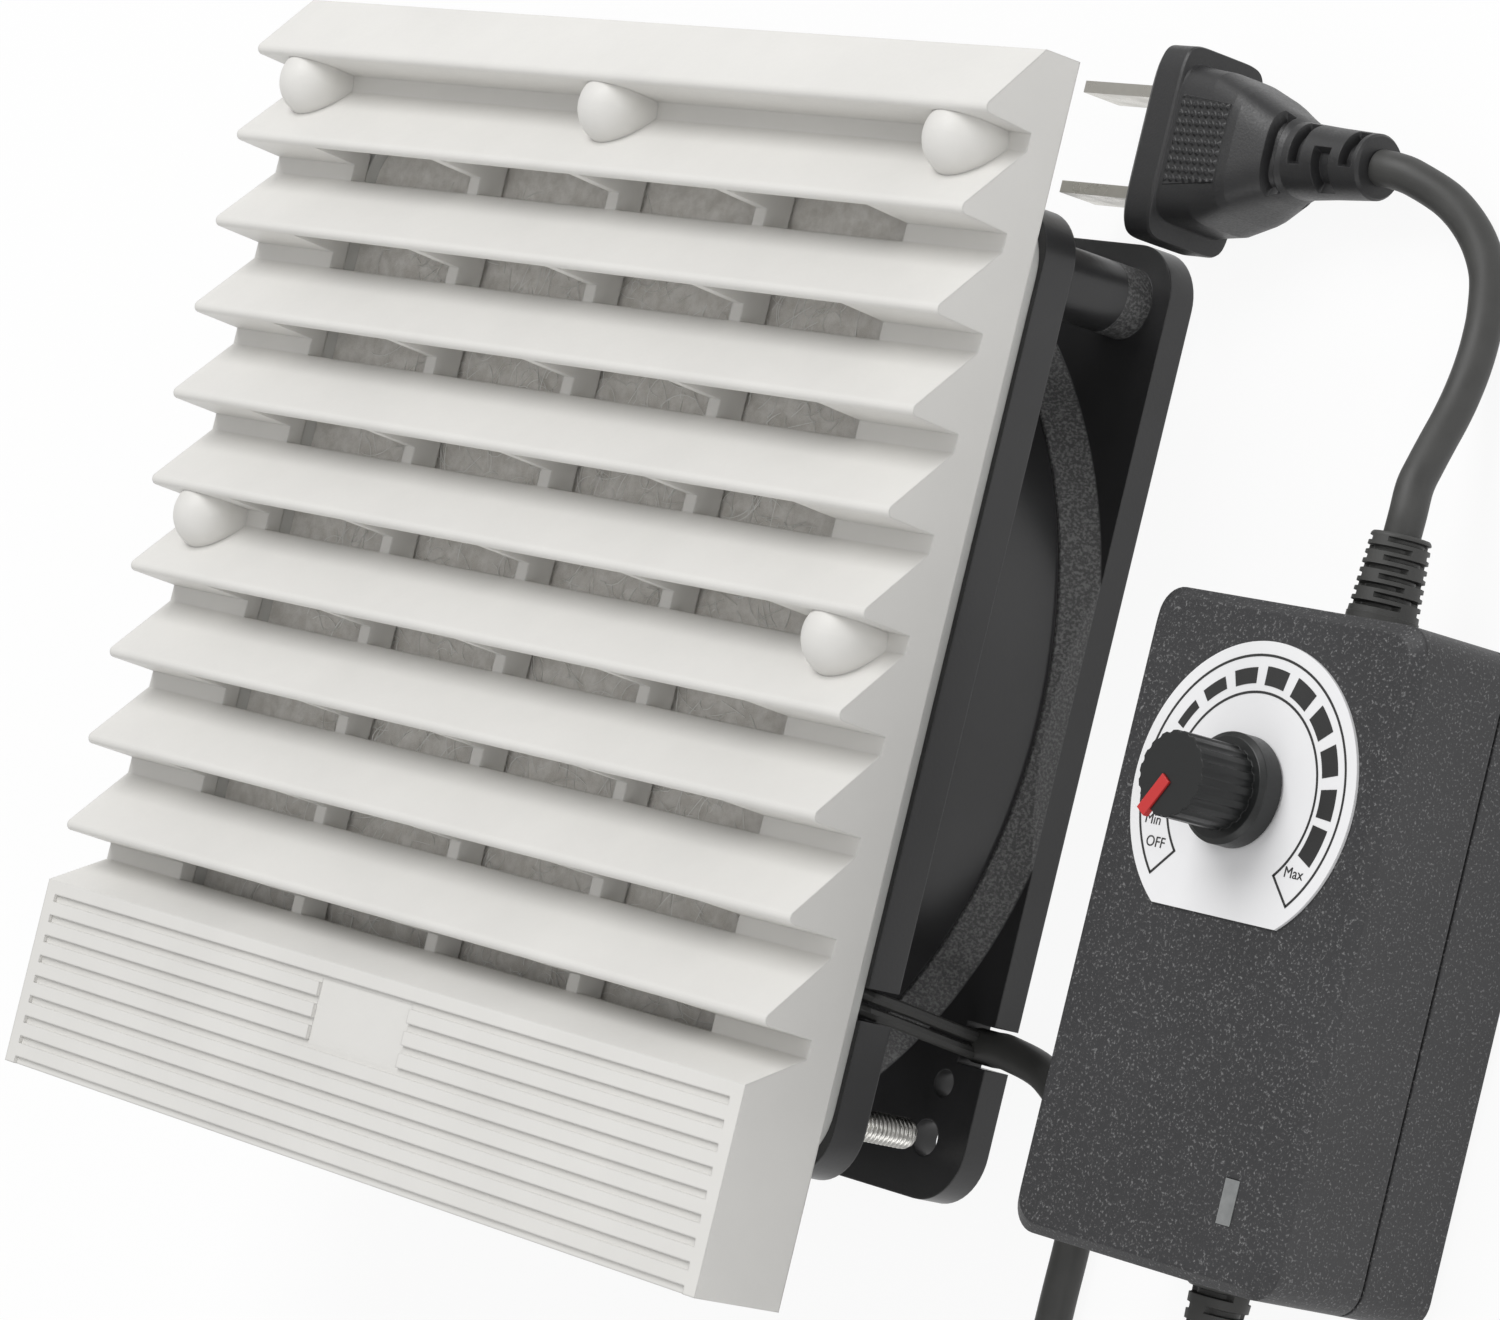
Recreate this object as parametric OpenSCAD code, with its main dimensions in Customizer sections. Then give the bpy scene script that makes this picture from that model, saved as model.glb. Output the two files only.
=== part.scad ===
// Cabinet ventilation fan: louvred cover, filter mat, mounting frame and axial fan,
// with an in-line speed controller and a two-blade plug on its lead.
// The fan lies on its rear face: X across the louvres, Y up the louvres, Z out of the cover.

/* [Cover] */
// Width and height of the square cover
cover_size = 148.5; // [146:0.5:152]
// Thickness of the cover's walls
cover_wall = 2.2; // [1.8:0.1:2.6]
// Distance from the panel face to the slat tips
tip_depth = 12.3; // [11.8:0.1:13.5]
// Depth of the cover's top edge
top_edge_depth = 5.5; // [5:0.1:6.5]
// Depth of the throat between two slats
root_depth = 4.8; // [4.6:0.1:5.2]
// Distance between two slat tips
slat_pitch = 11.93; // [11.6:0.01:12.1]
// Distance from the top edge down to the first tip
first_tip_drop = 8.75; // [8:0.05:9.5]
// Height of the throat between two slats
throat_height = 2.2; // [1.8:0.1:2.6]
// Distance that the underside of a tip drops on its way back
undercut = 1.04; // [0.8:0.02:1.4]
// Thickness of one slat
slat_thickness = 1.8; // [1.5:0.1:2.2]
// Radius of the rounded slat tips
tip_radius = 0.8; // [0.5:0.1:1]
// Width of the open part of the throats
open_width = 113; // [108:1:116]
// Distance between two upright ribs behind the slats
rib_spacing = 29.3; // [27:0.1:31]
// Thickness of an upright rib
rib_thickness = 2.2; // [1.6:0.1:3]
// Depth of the grip bar at the foot of the cover
bar_depth = 13; // [12.5:0.1:14]
// Number of grip ridges on the bar
ridge_count = 9; // [7:1:10]
// Height of a grip ridge above its groove
ridge_height = 0.45; // [0.3:0.05:0.6]
// Width of the blank plate in the bar
plate_width = 19.3; // [15:0.1:25]
// Height of the blank plate in the bar
plate_height = 8; // [6:0.1:9]
// Diameter of the round bosses between the slats
boss_diameter = 9.6; // [8:0.1:11]
// Distance of the outer bosses from the middle
boss_reach = 66; // [65:0.5:67]
// Diameter of the pegs behind the bosses
peg_diameter = 4; // [3:0.1:5]

/* [Mounting frame] */
// Depth of the frame from the panel face to the fan
collar_depth = 14.5; // [13.5:0.1:18]
// Outer width of the square collar
collar_size = 118.5; // [117:0.5:122]
// Corner radius of the collar
collar_radius = 8; // [6:0.5:10]
// Thickness of the frame's walls
frame_wall = 2.2; // [1.8:0.1:2.6]
// Thickness of the frame's flange
flange_plate = 2.2; // [2:0.1:2.3]
// Thickness of the frame's floor
frame_plate = 2.5; // [2.2:0.1:3]
// Width of a bar of the mat support
grid_bar = 2; // [1.5:0.1:3]
// Number of bars each way in the mat support
grid_count = 7; // [5:2:9]
// Width of the foam gasket
gasket_width = 3.4; // [2.6:0.1:3.6]
// Depth of the foam gasket in its groove
gasket_depth = 1.2; // [0.8:0.1:1.4]
// Height that the filter mat stands above the panel face
mat_rise = 0.6; // [0.2:0.1:0.9]

/* [Fan] */
// Width and height of the fan
fan_size = 120; // [119:0.5:121]
// Thickness of the fan
fan_thickness = 25.4; // [25:0.1:27]
// Thickness of the front flange
front_flange = 5; // [4:0.1:6]
// Thickness of the rear flange
rear_flange = 4; // [3.5:0.1:5]
// Corner radius of the flanges
flange_radius = 7; // [5:0.5:9]
// Distance between two mounting holes
hole_spacing = 105; // [104:0.5:106]
// Diameter of the mounting holes in the rear flange
hole_diameter = 4.5; // [4.5:0.1:5]
// Diameter of the holes for the screws that hold the grille's frame
screw_hole_diameter = 4.1; // [4.05:0.05:4.15]
// Diameter of the corner posts
post_diameter = 9; // [8:0.2:10]
// Inner diameter of the fan's barrel
barrel_bore = 115; // [112:0.5:116]
// Thickness of the barrel wall
barrel_wall = 1.6; // [1.4:0.1:2]
// Outer diameter where the barrel flares into the rear flange
flare_diameter = 125.2; // [122:0.2:127]
// Height of the flare
flare_height = 4; // [3:0.2:6]
// Number of struts that carry the motor
strut_count = 4; // [3:1:6]
// Width of a strut
strut_width = 6.5; // [6:0.1:8]
// Diameter of the motor seat
seat_diameter = 46; // [44:0.5:50]
// Thickness of the motor seat
seat_thickness = 3; // [2.5:0.1:3.6]

/* [Motor] */
// Diameter of the impeller hub
hub_diameter = 44; // [42:0.5:46]
// Wall of the impeller hub
hub_wall = 1.6; // [1.4:0.1:2]
// Number of blades
blade_count = 7; // [5:1:9]
// Gap between the blade tips and the barrel
tip_gap = 1.1; // [0.8:0.1:2]
// Thickness of a blade at its middle
blade_thickness = 2; // [1.4:0.1:2.4]
// Diameter of the steel shaft
shaft_diameter = 3.15; // [3:0.05:3.2]
// Outer diameter of a ball bearing
bearing_diameter = 8; // [7.5:0.1:9]
// Width of a ball bearing
bearing_width = 3; // [2.6:0.1:3.4]
// Wall of the bearing tube
tube_wall = 1.2; // [1:0.1:1.5]
// Thickness of the rotor's steel ring
yoke_wall = 1.2; // [1:0.1:1.4]
// Thickness of the rotor's magnet ring
magnet_wall = 2.2; // [1.8:0.1:2.6]
// Height of the stator's plates
stator_height = 5.5; // [4.5:0.1:6]
// Thickness of the motor's circuit board
board_thickness = 1; // [0.8:0.1:1.6]

/* [Screws and leads] */
// Diameter of the fan screws
screw_diameter = 4; // [3.8:0.1:4]
// Length of the fan screws below the head
screw_length = 21; // [19:0.5:21.5]
// Diameter of a screw head
head_diameter = 8; // [7:0.1:8.6]
// Height of a screw head
head_height = 2.2; // [1.8:0.1:2.4]
// Width of a nut across its flats
nut_width = 7; // [6.6:0.1:7.4]
// Height of a nut
nut_height = 3.2; // [2.8:0.1:3.4]
// Diameter of one of the two thin fan leads
lead_diameter = 1.6; // [1.2:0.1:1.8]

/* [Controller] */
// Width of the controller box
box_width = 42.5; // [40:0.5:46]
// Length of the controller box
box_length = 75.5; // [72:0.5:80]
// Height of the controller box
box_height = 27; // [25:0.5:30]
// Corner radius of the controller box
box_radius = 3.5; // [2.5:0.1:5]
// Bevel along the box's upper and lower edges
box_bevel = 1.2; // [0.8:0.1:1.6]
// Thickness of the box's walls
box_wall = 2; // [1.6:0.1:2.4]
// Height of the lower half of the box
split_height = 12.5; // [12:0.5:13.5]
// Width of the seam line round the box
seam_gap = 0.4; // [0.2:0.05:0.6]
// Distance from the box's upper end to the middle of the dial
dial_drop = 21.7; // [20:0.1:24]
// Radius of the white dial
dial_radius = 17.2; // [16:0.1:18.5]
// Distance from the dial's middle to its straight foot
dial_foot = 14.1; // [12:0.1:15]
// Thickness of the dial
dial_thickness = 0.4; // [0.3:0.05:0.5]
// Diameter of the speed knob
knob_diameter = 12.8; // [11:0.1:14]
// Height of the speed knob
knob_height = 11; // [9:0.5:13]
// Number of grips round the knob
knob_grips = 18; // [12:1:24]
// Angle of the knob's pointer when it is off, from the X axis
knob_off_angle = 237; // [200:1:260]
// Diameter of the knob's spindle
spindle_diameter = 6; // [5:0.1:6.2]
// Width of the lamp window
lamp_width = 2.3; // [2:0.1:3]
// Length of the lamp window
lamp_length = 5.2; // [4:0.1:6]
// Distance of the lamp window from the box's long middle line
lamp_offset = 12.3; // [10:0.1:14]
// Distance of the lamp window from the box's upper end
lamp_drop = 65.9; // [62:0.1:68]

/* [Cords and plug] */
// Diameter of both cords
cord_diameter = 4.4; // [4:0.1:4.4]
// Length of a strain relief on the box
relief_length = 11; // [9:0.5:13]
// Width of a strain relief at the box
relief_root = 8.4; // [7.5:0.1:9]
// Width of a strain relief at the cord
relief_end = 7; // [6:0.1:7.4]
// Number of grooves in a strain relief
relief_grooves = 4; // [3:1:5]
// Width of a groove in a strain relief
groove_width = 0.9; // [0.6:0.1:1.2]
// Depth of a groove in a strain relief
groove_depth = 0.7; // [0.4:0.1:0.9]
// Width of the plug's flange
plug_flange_width = 24.4; // [22:0.2:26]
// Length of the plug's flange
plug_flange_length = 5.4; // [4:0.1:6]
// Width of the plug's body next to its flange
plug_body_width = 19.3; // [18:0.1:21]
// Length of the plug without its blades
plug_length = 34.7; // [32:0.1:38]
// Width of the plug's neck
plug_neck_width = 8.3; // [7.6:0.1:9]
// Thickness of the plug
plug_thickness = 14; // [13:0.1:15]
// Distance between the two blades
blade_spacing = 12.7; // [12.5:0.1:12.9]
// Length of a plug blade
plug_blade_length = 15.6; // [15:0.1:17]
// Width of a plug blade
plug_blade_width = 6.35; // [6:0.05:6.6]
// Thickness of a plug blade
plug_blade_thickness = 1.5; // [1.4:0.05:1.6]

/* [Hidden] */
$fn = 96;

// Clearances: beside a sliding or swinging piece, between seated pieces, and round a shaft
run_gap = 0.3;
seat_gap = 0.05;
shaft_gap = 0.03;
overrun = 0.5;

// Heights above the surface that the fan lies on
front_z = fan_thickness;
panel_z = fan_thickness + collar_depth;
floor_top = front_z + frame_plate;
grid_top = floor_top + head_height + run_gap;
grid_low = front_z + run_gap;
mat_top = panel_z + mat_rise;
rib_back = mat_rise + run_gap;
pocket_size = collar_size - 2 * frame_wall;
gasket_inner = collar_size + 2 * run_gap;

// Louvre section, with Y up the cover and the second number out of the panel
half_cover = cover_size / 2;
half_open = open_width / 2;
skin_back = root_depth - cover_wall;
bar_run = 4.27;
function unit(v) = v / norm(v);
function meet(p, d, q, e) = p + d * (cross(q - p, e) / cross(d, e));
function tip(i) = [half_cover - first_tip_drop - slat_pitch * i, tip_depth];
function rootTop(i) = [tip(i)[0] - undercut, root_depth];
function rootLow(i) = [tip(i)[0] - undercut - throat_height, root_depth];
last_tip = floor((cover_size - first_tip_drop - slat_pitch - bar_depth) / slat_pitch);
slope_dir = unit(tip(1) - rootLow(0));
under_dir = unit(rootTop(1) - tip(1));
slope_out = [slope_dir[1], -slope_dir[0]];
under_out = [under_dir[1], -under_dir[0]];
tip_out = unit(slope_out + under_out);
slope_angle = atan2(slope_out[1], slope_out[0]);
under_angle = atan2(under_out[1], under_out[0]);
arc_steps = 5;
function tipArc(i) = [for (k = [0:arc_steps])
    let (a = slope_angle + (under_angle - slope_angle) * k / arc_steps)
    tip(i) + tip_radius * ([cos(a), sin(a)] - tip_out)];
bar_top = rootLow(last_tip)[0] - bar_run;
ridge_pitch = (bar_top + half_cover) / ridge_count;
outer_line = concat([[half_cover, top_edge_depth]],
    [for (i = [0:last_tip]) each concat(tipArc(i), [rootTop(i), rootLow(i)])],
    [[bar_top, bar_depth], [-half_cover, bar_depth]]);

// The back of the skin runs beside its front, one wall behind it
function innerTip(i) = meet(tip(i) - cover_wall * slope_out, slope_dir,
    tip(i) - cover_wall * under_out, under_dir);
function innerRootTop(i) = meet(innerTip(i), under_dir, [0, skin_back], [1, 0]);
function innerRootLow(i) = meet(innerTip(i + 1), slope_dir, [0, skin_back], [1, 0]);
top_inner = meet(innerTip(0), slope_dir, [half_cover - cover_wall, 0], [0, 1]);
bar_dir = unit([bar_top, bar_depth] - rootLow(last_tip));
bar_base = rootLow(last_tip) - cover_wall * [bar_dir[1], -bar_dir[0]];
bar_inner_top = meet(bar_base, bar_dir, [0, bar_depth - cover_wall], [1, 0]);
bar_inner_root = meet(bar_base, bar_dir, [0, skin_back], [1, 0]);
skin_outline = concat(outer_line,
    [[-half_cover, 0], [cover_wall - half_cover, 0],
     [cover_wall - half_cover, bar_depth - cover_wall], bar_inner_top, bar_inner_root,
     innerRootTop(last_tip), innerTip(last_tip)],
    [for (i = [last_tip - 1:-1:0]) each [innerRootLow(i), innerRootTop(i), innerTip(i)]],
    [top_inner, [half_cover - cover_wall, 0], [half_cover, 0]]);
side_outline = concat(outer_line, [[-half_cover, 0], [half_cover, 0]]);
rib_reach = pocket_size / 2 - 2 * run_gap;
rib_outline = concat(outer_line,
    [[-half_cover, skin_back], [-rib_reach, skin_back], [-rib_reach, rib_back],
     [rib_reach, rib_back], [rib_reach, skin_back], [half_cover, skin_back]]);
function slatInner(i) = rootLow(i - 1) - slat_thickness * slope_out;
function slatOutline(i) = concat([rootLow(i - 1)], tipArc(i),
    [meet(tip(i), under_dir, slatInner(i), slope_dir), slatInner(i)]);
boss_drop = 3;
boss_straight = 2.8;
mid_boss_tip = 5;
boss_places = concat([for (s = [-1, 0, 1]) [s * boss_reach, tip(0)[0] - boss_drop]],
    [for (s = [-1, 1]) [s * boss_reach, tip(mid_boss_tip)[0] - boss_drop]]);
plate_drop = 2.2;
plate_sink = 0.5;
groove_share = 0.35;
flange_corner = 2.5;
peg_end = 0.6;

// Fan and motor, measured from the rear face
barrel_radius = barrel_bore / 2;
barrel_outer = barrel_radius + barrel_wall;
flare_radius = flare_diameter / 2;
rim_step = 0.5;
mouth_bevel = 0.8;
strut_angle = -34.5;
strut_sink = 0.3;
lead_reach = 69;
channel_depth = 2.2;
channel_width = 4;
notch_y = -40;
notch_width = 5.2;
notch_depth = 5;
front_notch_y = -38;
hook_hole = [53.5, -45.5];
hook_hole_diameter = 3.4;
shaft_radius = shaft_diameter / 2;
hub_radius = hub_diameter / 2;
hub_low = 1.2;
hub_top = 21;
hub_plate = 2;
hub_round = 1.5;
hub_boss = 3.6;
tube_low = 6.2;
bearing_radius = bearing_diameter / 2;
tube_radius = bearing_radius + tube_wall;
shoulder_radius = bearing_radius - 0.8;
seat_low = front_z - seat_thickness;
front_bearing_z = front_z - 1.4 - bearing_width;
rear_bearing_z = tube_low + 0.3;
spring_z = rear_bearing_z + bearing_width + seat_gap;
spring_height = 2.4;
spring_wire = 0.5;
spring_turns = 3;
yoke_radius = hub_radius - hub_wall - seat_gap;
yoke_low = hub_low + hub_plate + seat_gap;
yoke_height = 14;
magnet_radius = yoke_radius - yoke_wall - seat_gap;
magnet_low = yoke_low + 1.2;
magnet_height = 11.5;
air_gap = 0.4;
stator_radius = magnet_radius - magnet_wall - air_gap;
stator_low = 8;
stator_ring = 2.4;
pole_count = 4;
pole_arm = 4.2;
pole_shoe = 1.8;
pole_angle = 76;
coil_build = 1.9;
coil_inner = tube_radius + stator_ring + 0.5;
coil_clearance = 0.3;
coil_outer = sqrt(pow(stator_radius - pole_shoe, 2) - pow(pole_arm / 2 + coil_build, 2)) - coil_clearance;
board_z = 17.4;
board_radius = 15.5;
clip_groove = 0.5;
clip_radius = 2.6;
clip_thickness = 0.4;

// Blades: each section turns about the hub as it climbs from the rear edge to the front edge
blade_low = 2.6;
blade_high = seat_low - 1.4;
blade_tip = barrel_radius - tip_gap;
blade_root = hub_radius - 0.45;
blade_steps = 5;
section_steps = 6;
root_span = 34;
tip_span = 27;
tip_sweep = 14;
camber_share = 0.16;
edge_share = 0.3;
function bladeAngle(s, u) = tip_sweep * s * s + (root_span + (tip_span - root_span) * s) * u;
function bladeHeight(u) = blade_low + (blade_high - blade_low) * (u + camber_share * u * (1 - u) * 4);
function bladeHalf(u) = blade_thickness / 2 * (edge_share + (1 - edge_share) * sqrt(4 * u * (1 - u)));
function bladePoint(s, u, side) = let (r = blade_root + (blade_tip - blade_root) * s,
    a = bladeAngle(s, u))
    [r * cos(a), r * sin(a), bladeHeight(u)]
    + side * bladeHalf(u) * [sin(a) * blade_lean, -cos(a) * blade_lean, blade_lean];
blade_lean = sqrt(1 / 2);
function bladeRing(s) = concat([for (k = [0:section_steps]) bladePoint(s, k / section_steps, -1)],
    [for (k = [section_steps:-1:0]) bladePoint(s, k / section_steps, 1)]);

// Surfaces carried along a list of rings, and round tubes along a route
module loft(rings) {
    n = len(rings[0]);
    last = len(rings) - 1;
    polyhedron(points = [for (r = rings) each r],
        faces = concat(
            [for (k = [0:n / 2 - 2]) each [[k, k + 1, n - 1 - k], [k + 1, n - 2 - k, n - 1 - k]]],
            [for (k = [0:n / 2 - 2]) each [[last * n + n - 1 - k, last * n + k + 1, last * n + k],
                [last * n + n - 1 - k, last * n + n - 2 - k, last * n + k + 1]]],
            [for (k = [0:last - 1], i = [0:n - 1]) each
                [[k * n + i, (k + 1) * n + i, (k + 1) * n + (i + 1) % n],
                 [k * n + i, (k + 1) * n + (i + 1) % n, k * n + (i + 1) % n]]]));
}
function heading(path, i) = unit(path[min(i + 1, len(path) - 1)] - path[max(i - 1, 0)]);
function tubeRing(path, i, radius, sides, first) = let (t = i == 0 ? first : heading(path, i),
    side = unit(cross(abs(t[2]) > abs(t[0]) + abs(t[1]) ? [1, 0, 0] : [0, 0, 1], t)),
    up = cross(t, side))
    [for (k = [0:sides - 1]) path[i]
        + radius * (cos(360 * k / sides) * side + sin(360 * k / sides) * up)];
module tube(path, radius, sides) {
    loft([for (i = [0:len(path) - 1]) tubeRing(path, i, radius, sides, heading(path, 0))]);
}

// The controller stands beside the fan, and the plug lies past the fan's corner
box_x = 115;
box_low = -58;
box_high = box_low + box_length;
relief_z = 12;
dial_y = box_high - dial_drop;
board_inset = 3;
cavity_floor = 2;
lip_height = 1.6;
lip_wall = 0.8;
control_radius = 8;
control_height = 7;
bushing_radius = 3.6;
lid_top_wall = 2.4;
knob_low = box_height + dial_thickness + run_gap;
skirt_height = 2.4;
skirt_bevel = 0.5;
skirt_step = 0.6;
grip_rim_radius = 4.9;
pointer_start = 0.7;
pointer_length = 5.7;
pointer_width = 1.5;
pointer_height = 0.6;
cap_top = 0.8;
spindle_depth = knob_height - pointer_height - cap_top;
grip_radius = 0.65;
plug_y = 71.5;
plug_tail = 93;
plug_z = plug_thickness / 2;
plug_blade_root = 4;
plug_bevel = 0.8;
pointer_rise = 0.2;

// Cord routes in round numbers, from the fan to the box and from the box to the plug
cord_radius = cord_diameter / 2;
fan_cord_route = [[56, -40, 2.2], [59, -40, 2.2], [62, -40, 2.2], [68.7, -41.3, 2.2],
    [74.6, -45.2, 2.2], [78.4, -51, 2.2], [79.8, -57.8, 2.2], [79.8, -66.5, 2.2],
    [79.8, -75, 2.2], [79.8, -83.5, 2.2], [79.8, -92, 2.2], [79.8, -102.1, 2.2],
    [80.9, -108.1, 2.2], [83.9, -113.4, 2.2], [88.6, -117.3, 2.2], [94.3, -119.4, 2.2],
    [100.5, -119.4, 2.2], [106.2, -117.3, 2.2], [110.9, -113.4, 2.2], [113.9, -108.1, 2.2],
    [115, -102.1, 2.2], [115, -95.5, 2.4], [115, -90, 3.3], [115, -85, 5.1], [115, -81, 7.2],
    [115, -77, 9.5], [115, -73.5, 11.2], [115, -71, 12],
    [115, -69, 12]];
mains_cord_route = [[115, 28.5, 12], [115, 31.2, 11.9], [114.2, 34.5, 11], [113.7, 37.4, 9.6],
    [113.2, 40.4, 8], [112.7, 43.3, 6.4], [112.2, 46.3, 5], [111.6, 49.7, 3.7], [111, 53.2, 2.8],
    [110.3, 56.9, 2.3], [109, 61.3, 2.2], [106.3, 65.4, 2.7], [102.6, 68.7, 4.1],
    [98.1, 70.7, 6], [95.4, 71.3, 6.8], [93, 71.5, 7]];
lead_route = [[56, 0, 2.2], [57, 0, 4.2], [57, 0.3, 7], [56.6, 0.8, 11], [56.6, 1.3, 15],
    [57, 1.7, 19], [57, 2, 22], [56, 2.3, 24.2]];
lead_inner_reach = 15;
lead_end_z = board_z + board_thickness;
seat_hole_diameter = 4.6;

module block(x, y, z, w, l, h) {
    translate([x - w / 2, y - l / 2, z]) cube([w, l, h]);
}
module roundPlate(w, l, radius, height) {
    linear_extrude(height) union() {
        square([w, l - 2 * radius], center = true);
        square([w - 2 * radius, l], center = true);
        for (sx = [-1, 1], sy = [-1, 1])
            translate([sx * (w / 2 - radius), sy * (l / 2 - radius)]) circle(radius);
    }
}
module across(width) {
    translate([-width / 2, 0, 0]) rotate([90, 0, 90]) linear_extrude(width) children();
}
module atHoles(rows) {
    for (sx = [-1, 1], sy = rows)
        translate([sx * hole_spacing / 2, sy * hole_spacing / 2, 0]) children();
}
module ring(z, outer, inner, height) {
    translate([0, 0, z]) difference() {
        cylinder(r = outer, h = height);
        translate([0, 0, -overrun]) cylinder(r = inner, h = height + 2 * overrun);
    }
}

module coverBoss() {
    straight_top = root_depth + boss_straight;
    translate([0, 0, skin_back]) cylinder(d = boss_diameter, h = straight_top - skin_back);
    translate([0, 0, straight_top]) sphere(d = boss_diameter);
    translate([0, 0, peg_end]) cylinder(d = peg_diameter, h = root_depth - peg_end);
}
module coverBody() {
    side_width = (cover_size - open_width) / 2;
    side_middle = (cover_size + open_width) / 4;
    for (s = [-1, 1]) {
        translate([s * side_middle, 0, 0]) across(side_width - cover_wall / 2) polygon(skin_outline);
        translate([s * (half_cover - cover_wall / 2), 0, 0]) across(cover_wall) polygon(side_outline);
        translate([s * (half_open + cover_wall / 4), 0, 0]) across(cover_wall / 2) polygon(skin_outline);
    }
    for (s = [-1, 0, 1]) translate([s * rib_spacing, 0, 0]) across(rib_thickness) polygon(rib_outline);
    for (i = [1:last_tip]) across(open_width + cover_wall) polygon(slatOutline(i));
    intersection() {
        across(open_width + cover_wall) polygon(skin_outline);
        union() {
            block(0, half_cover, 0, cover_size, 2 * (half_cover - rootLow(0)[0] + tip_radius), bar_depth);
            block(0, -half_cover, 0, cover_size, 2 * (rootLow(last_tip)[0] + half_cover), bar_depth);
        }
    }
    for (p = boss_places) translate(p) coverBoss();
}
module louvre_cover() {
    color([0.86, 0.85, 0.83]) translate([0, 0, panel_z]) difference() {
        coverBody();
        for (k = [0:ridge_count - 1])
            block(0, bar_top - ridge_pitch * (k + 1 - groove_share / 2), bar_depth - ridge_height,
                cover_size - 2 * cover_wall, ridge_pitch * groove_share, ridge_height + overrun);
        block(0, bar_top - plate_drop - plate_height / 2, bar_depth - plate_sink,
            plate_width, plate_height, plate_sink + overrun);
    }
}
module filter_mat() {
    color([0.8, 0.8, 0.79]) translate([0, 0, grid_top])
        roundPlate(pocket_size - 2 * seat_gap, pocket_size - 2 * seat_gap,
            collar_radius - frame_wall, mat_top - grid_top);
}
module gridBars() {
    step = pocket_size / (grid_count + 1);
    for (k = [1:grid_count]) {
        offset_k = step * k - pocket_size / 2;
        block(offset_k, 0, grid_low, grid_bar, pocket_size + frame_wall, grid_top - grid_low);
        block(0, offset_k, grid_low, pocket_size + frame_wall, grid_bar, grid_top - grid_low);
    }
}
module base_frame() {
    flange_size = cover_size - 2 * (cover_wall + run_gap);
    color([0.8, 0.79, 0.77]) union() {
        difference() {
            union() {
                translate([0, 0, panel_z]) roundPlate(flange_size, flange_size, flange_corner, flange_plate);
                translate([0, 0, front_z])
                    roundPlate(collar_size, collar_size, collar_radius, collar_depth + flange_plate / 2);
            }
            translate([0, 0, floor_top]) roundPlate(pocket_size, pocket_size,
                collar_radius - frame_wall, collar_depth + flange_plate);
            translate([0, 0, front_z - overrun]) cylinder(r = barrel_radius, h = frame_plate + 2 * overrun);
            atHoles([-1, 1]) translate([0, 0, front_z - overrun])
                cylinder(d = screw_hole_diameter, h = frame_plate + 2 * overrun);
            for (p = boss_places) translate([p[0], p[1], panel_z - overrun])
                cylinder(d = peg_diameter + run_gap, h = flange_plate + 2 * overrun);
            translate([0, 0, panel_z - overrun]) difference() {
                roundPlate(gasket_inner + 2 * gasket_width, gasket_inner + 2 * gasket_width,
                    collar_radius + gasket_width, gasket_depth + overrun);
                roundPlate(gasket_inner, gasket_inner, collar_radius, gasket_depth + overrun);
            }
        }
        gridBars();
    }
}
module panel_gasket() {
    color([0.16, 0.16, 0.16]) translate([0, 0, panel_z]) difference() {
        roundPlate(gasket_inner + 2 * gasket_width - seat_gap, gasket_inner + 2 * gasket_width - seat_gap,
            collar_radius + gasket_width, gasket_depth);
        translate([0, 0, -overrun]) roundPlate(gasket_inner + seat_gap, gasket_inner + seat_gap,
            collar_radius, gasket_depth + 2 * overrun);
        for (p = boss_places) translate([p[0], p[1], -overrun])
            cylinder(d = peg_diameter + 2 * run_gap, h = gasket_depth + 2 * overrun);
    }
}

module barrelShell() {
    intersection() {
        rotate_extrude() polygon([[barrel_radius - overrun, 0], [flare_radius, 0], [flare_radius, rear_flange],
            [barrel_outer + rim_step, rear_flange + flare_height], [barrel_outer, rear_flange + flare_height],
            [barrel_outer, front_z], [barrel_radius - overrun, front_z]]);
        roundPlate(fan_size, fan_size, flange_radius, fan_thickness);
    }
}
module fanShell() {
    roundPlate(fan_size, fan_size, flange_radius, rear_flange);
    translate([0, 0, front_z - front_flange]) roundPlate(fan_size, fan_size, flange_radius, front_flange);
    barrelShell();
    atHoles([1]) cylinder(d = post_diameter, h = fan_thickness);
}
module motorMount() {
    translate([0, 0, seat_low]) linear_extrude(seat_thickness - strut_sink) union() {
        circle(d = seat_diameter);
        for (k = [0:strut_count - 1]) rotate([0, 0, strut_angle + 360 / strut_count * k])
            translate([0, -strut_width / 2]) square([barrel_radius + barrel_wall / 2, strut_width]);
    }
    translate([0, 0, tube_low]) cylinder(r = tube_radius, h = seat_low - tube_low + overrun);
}
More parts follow.
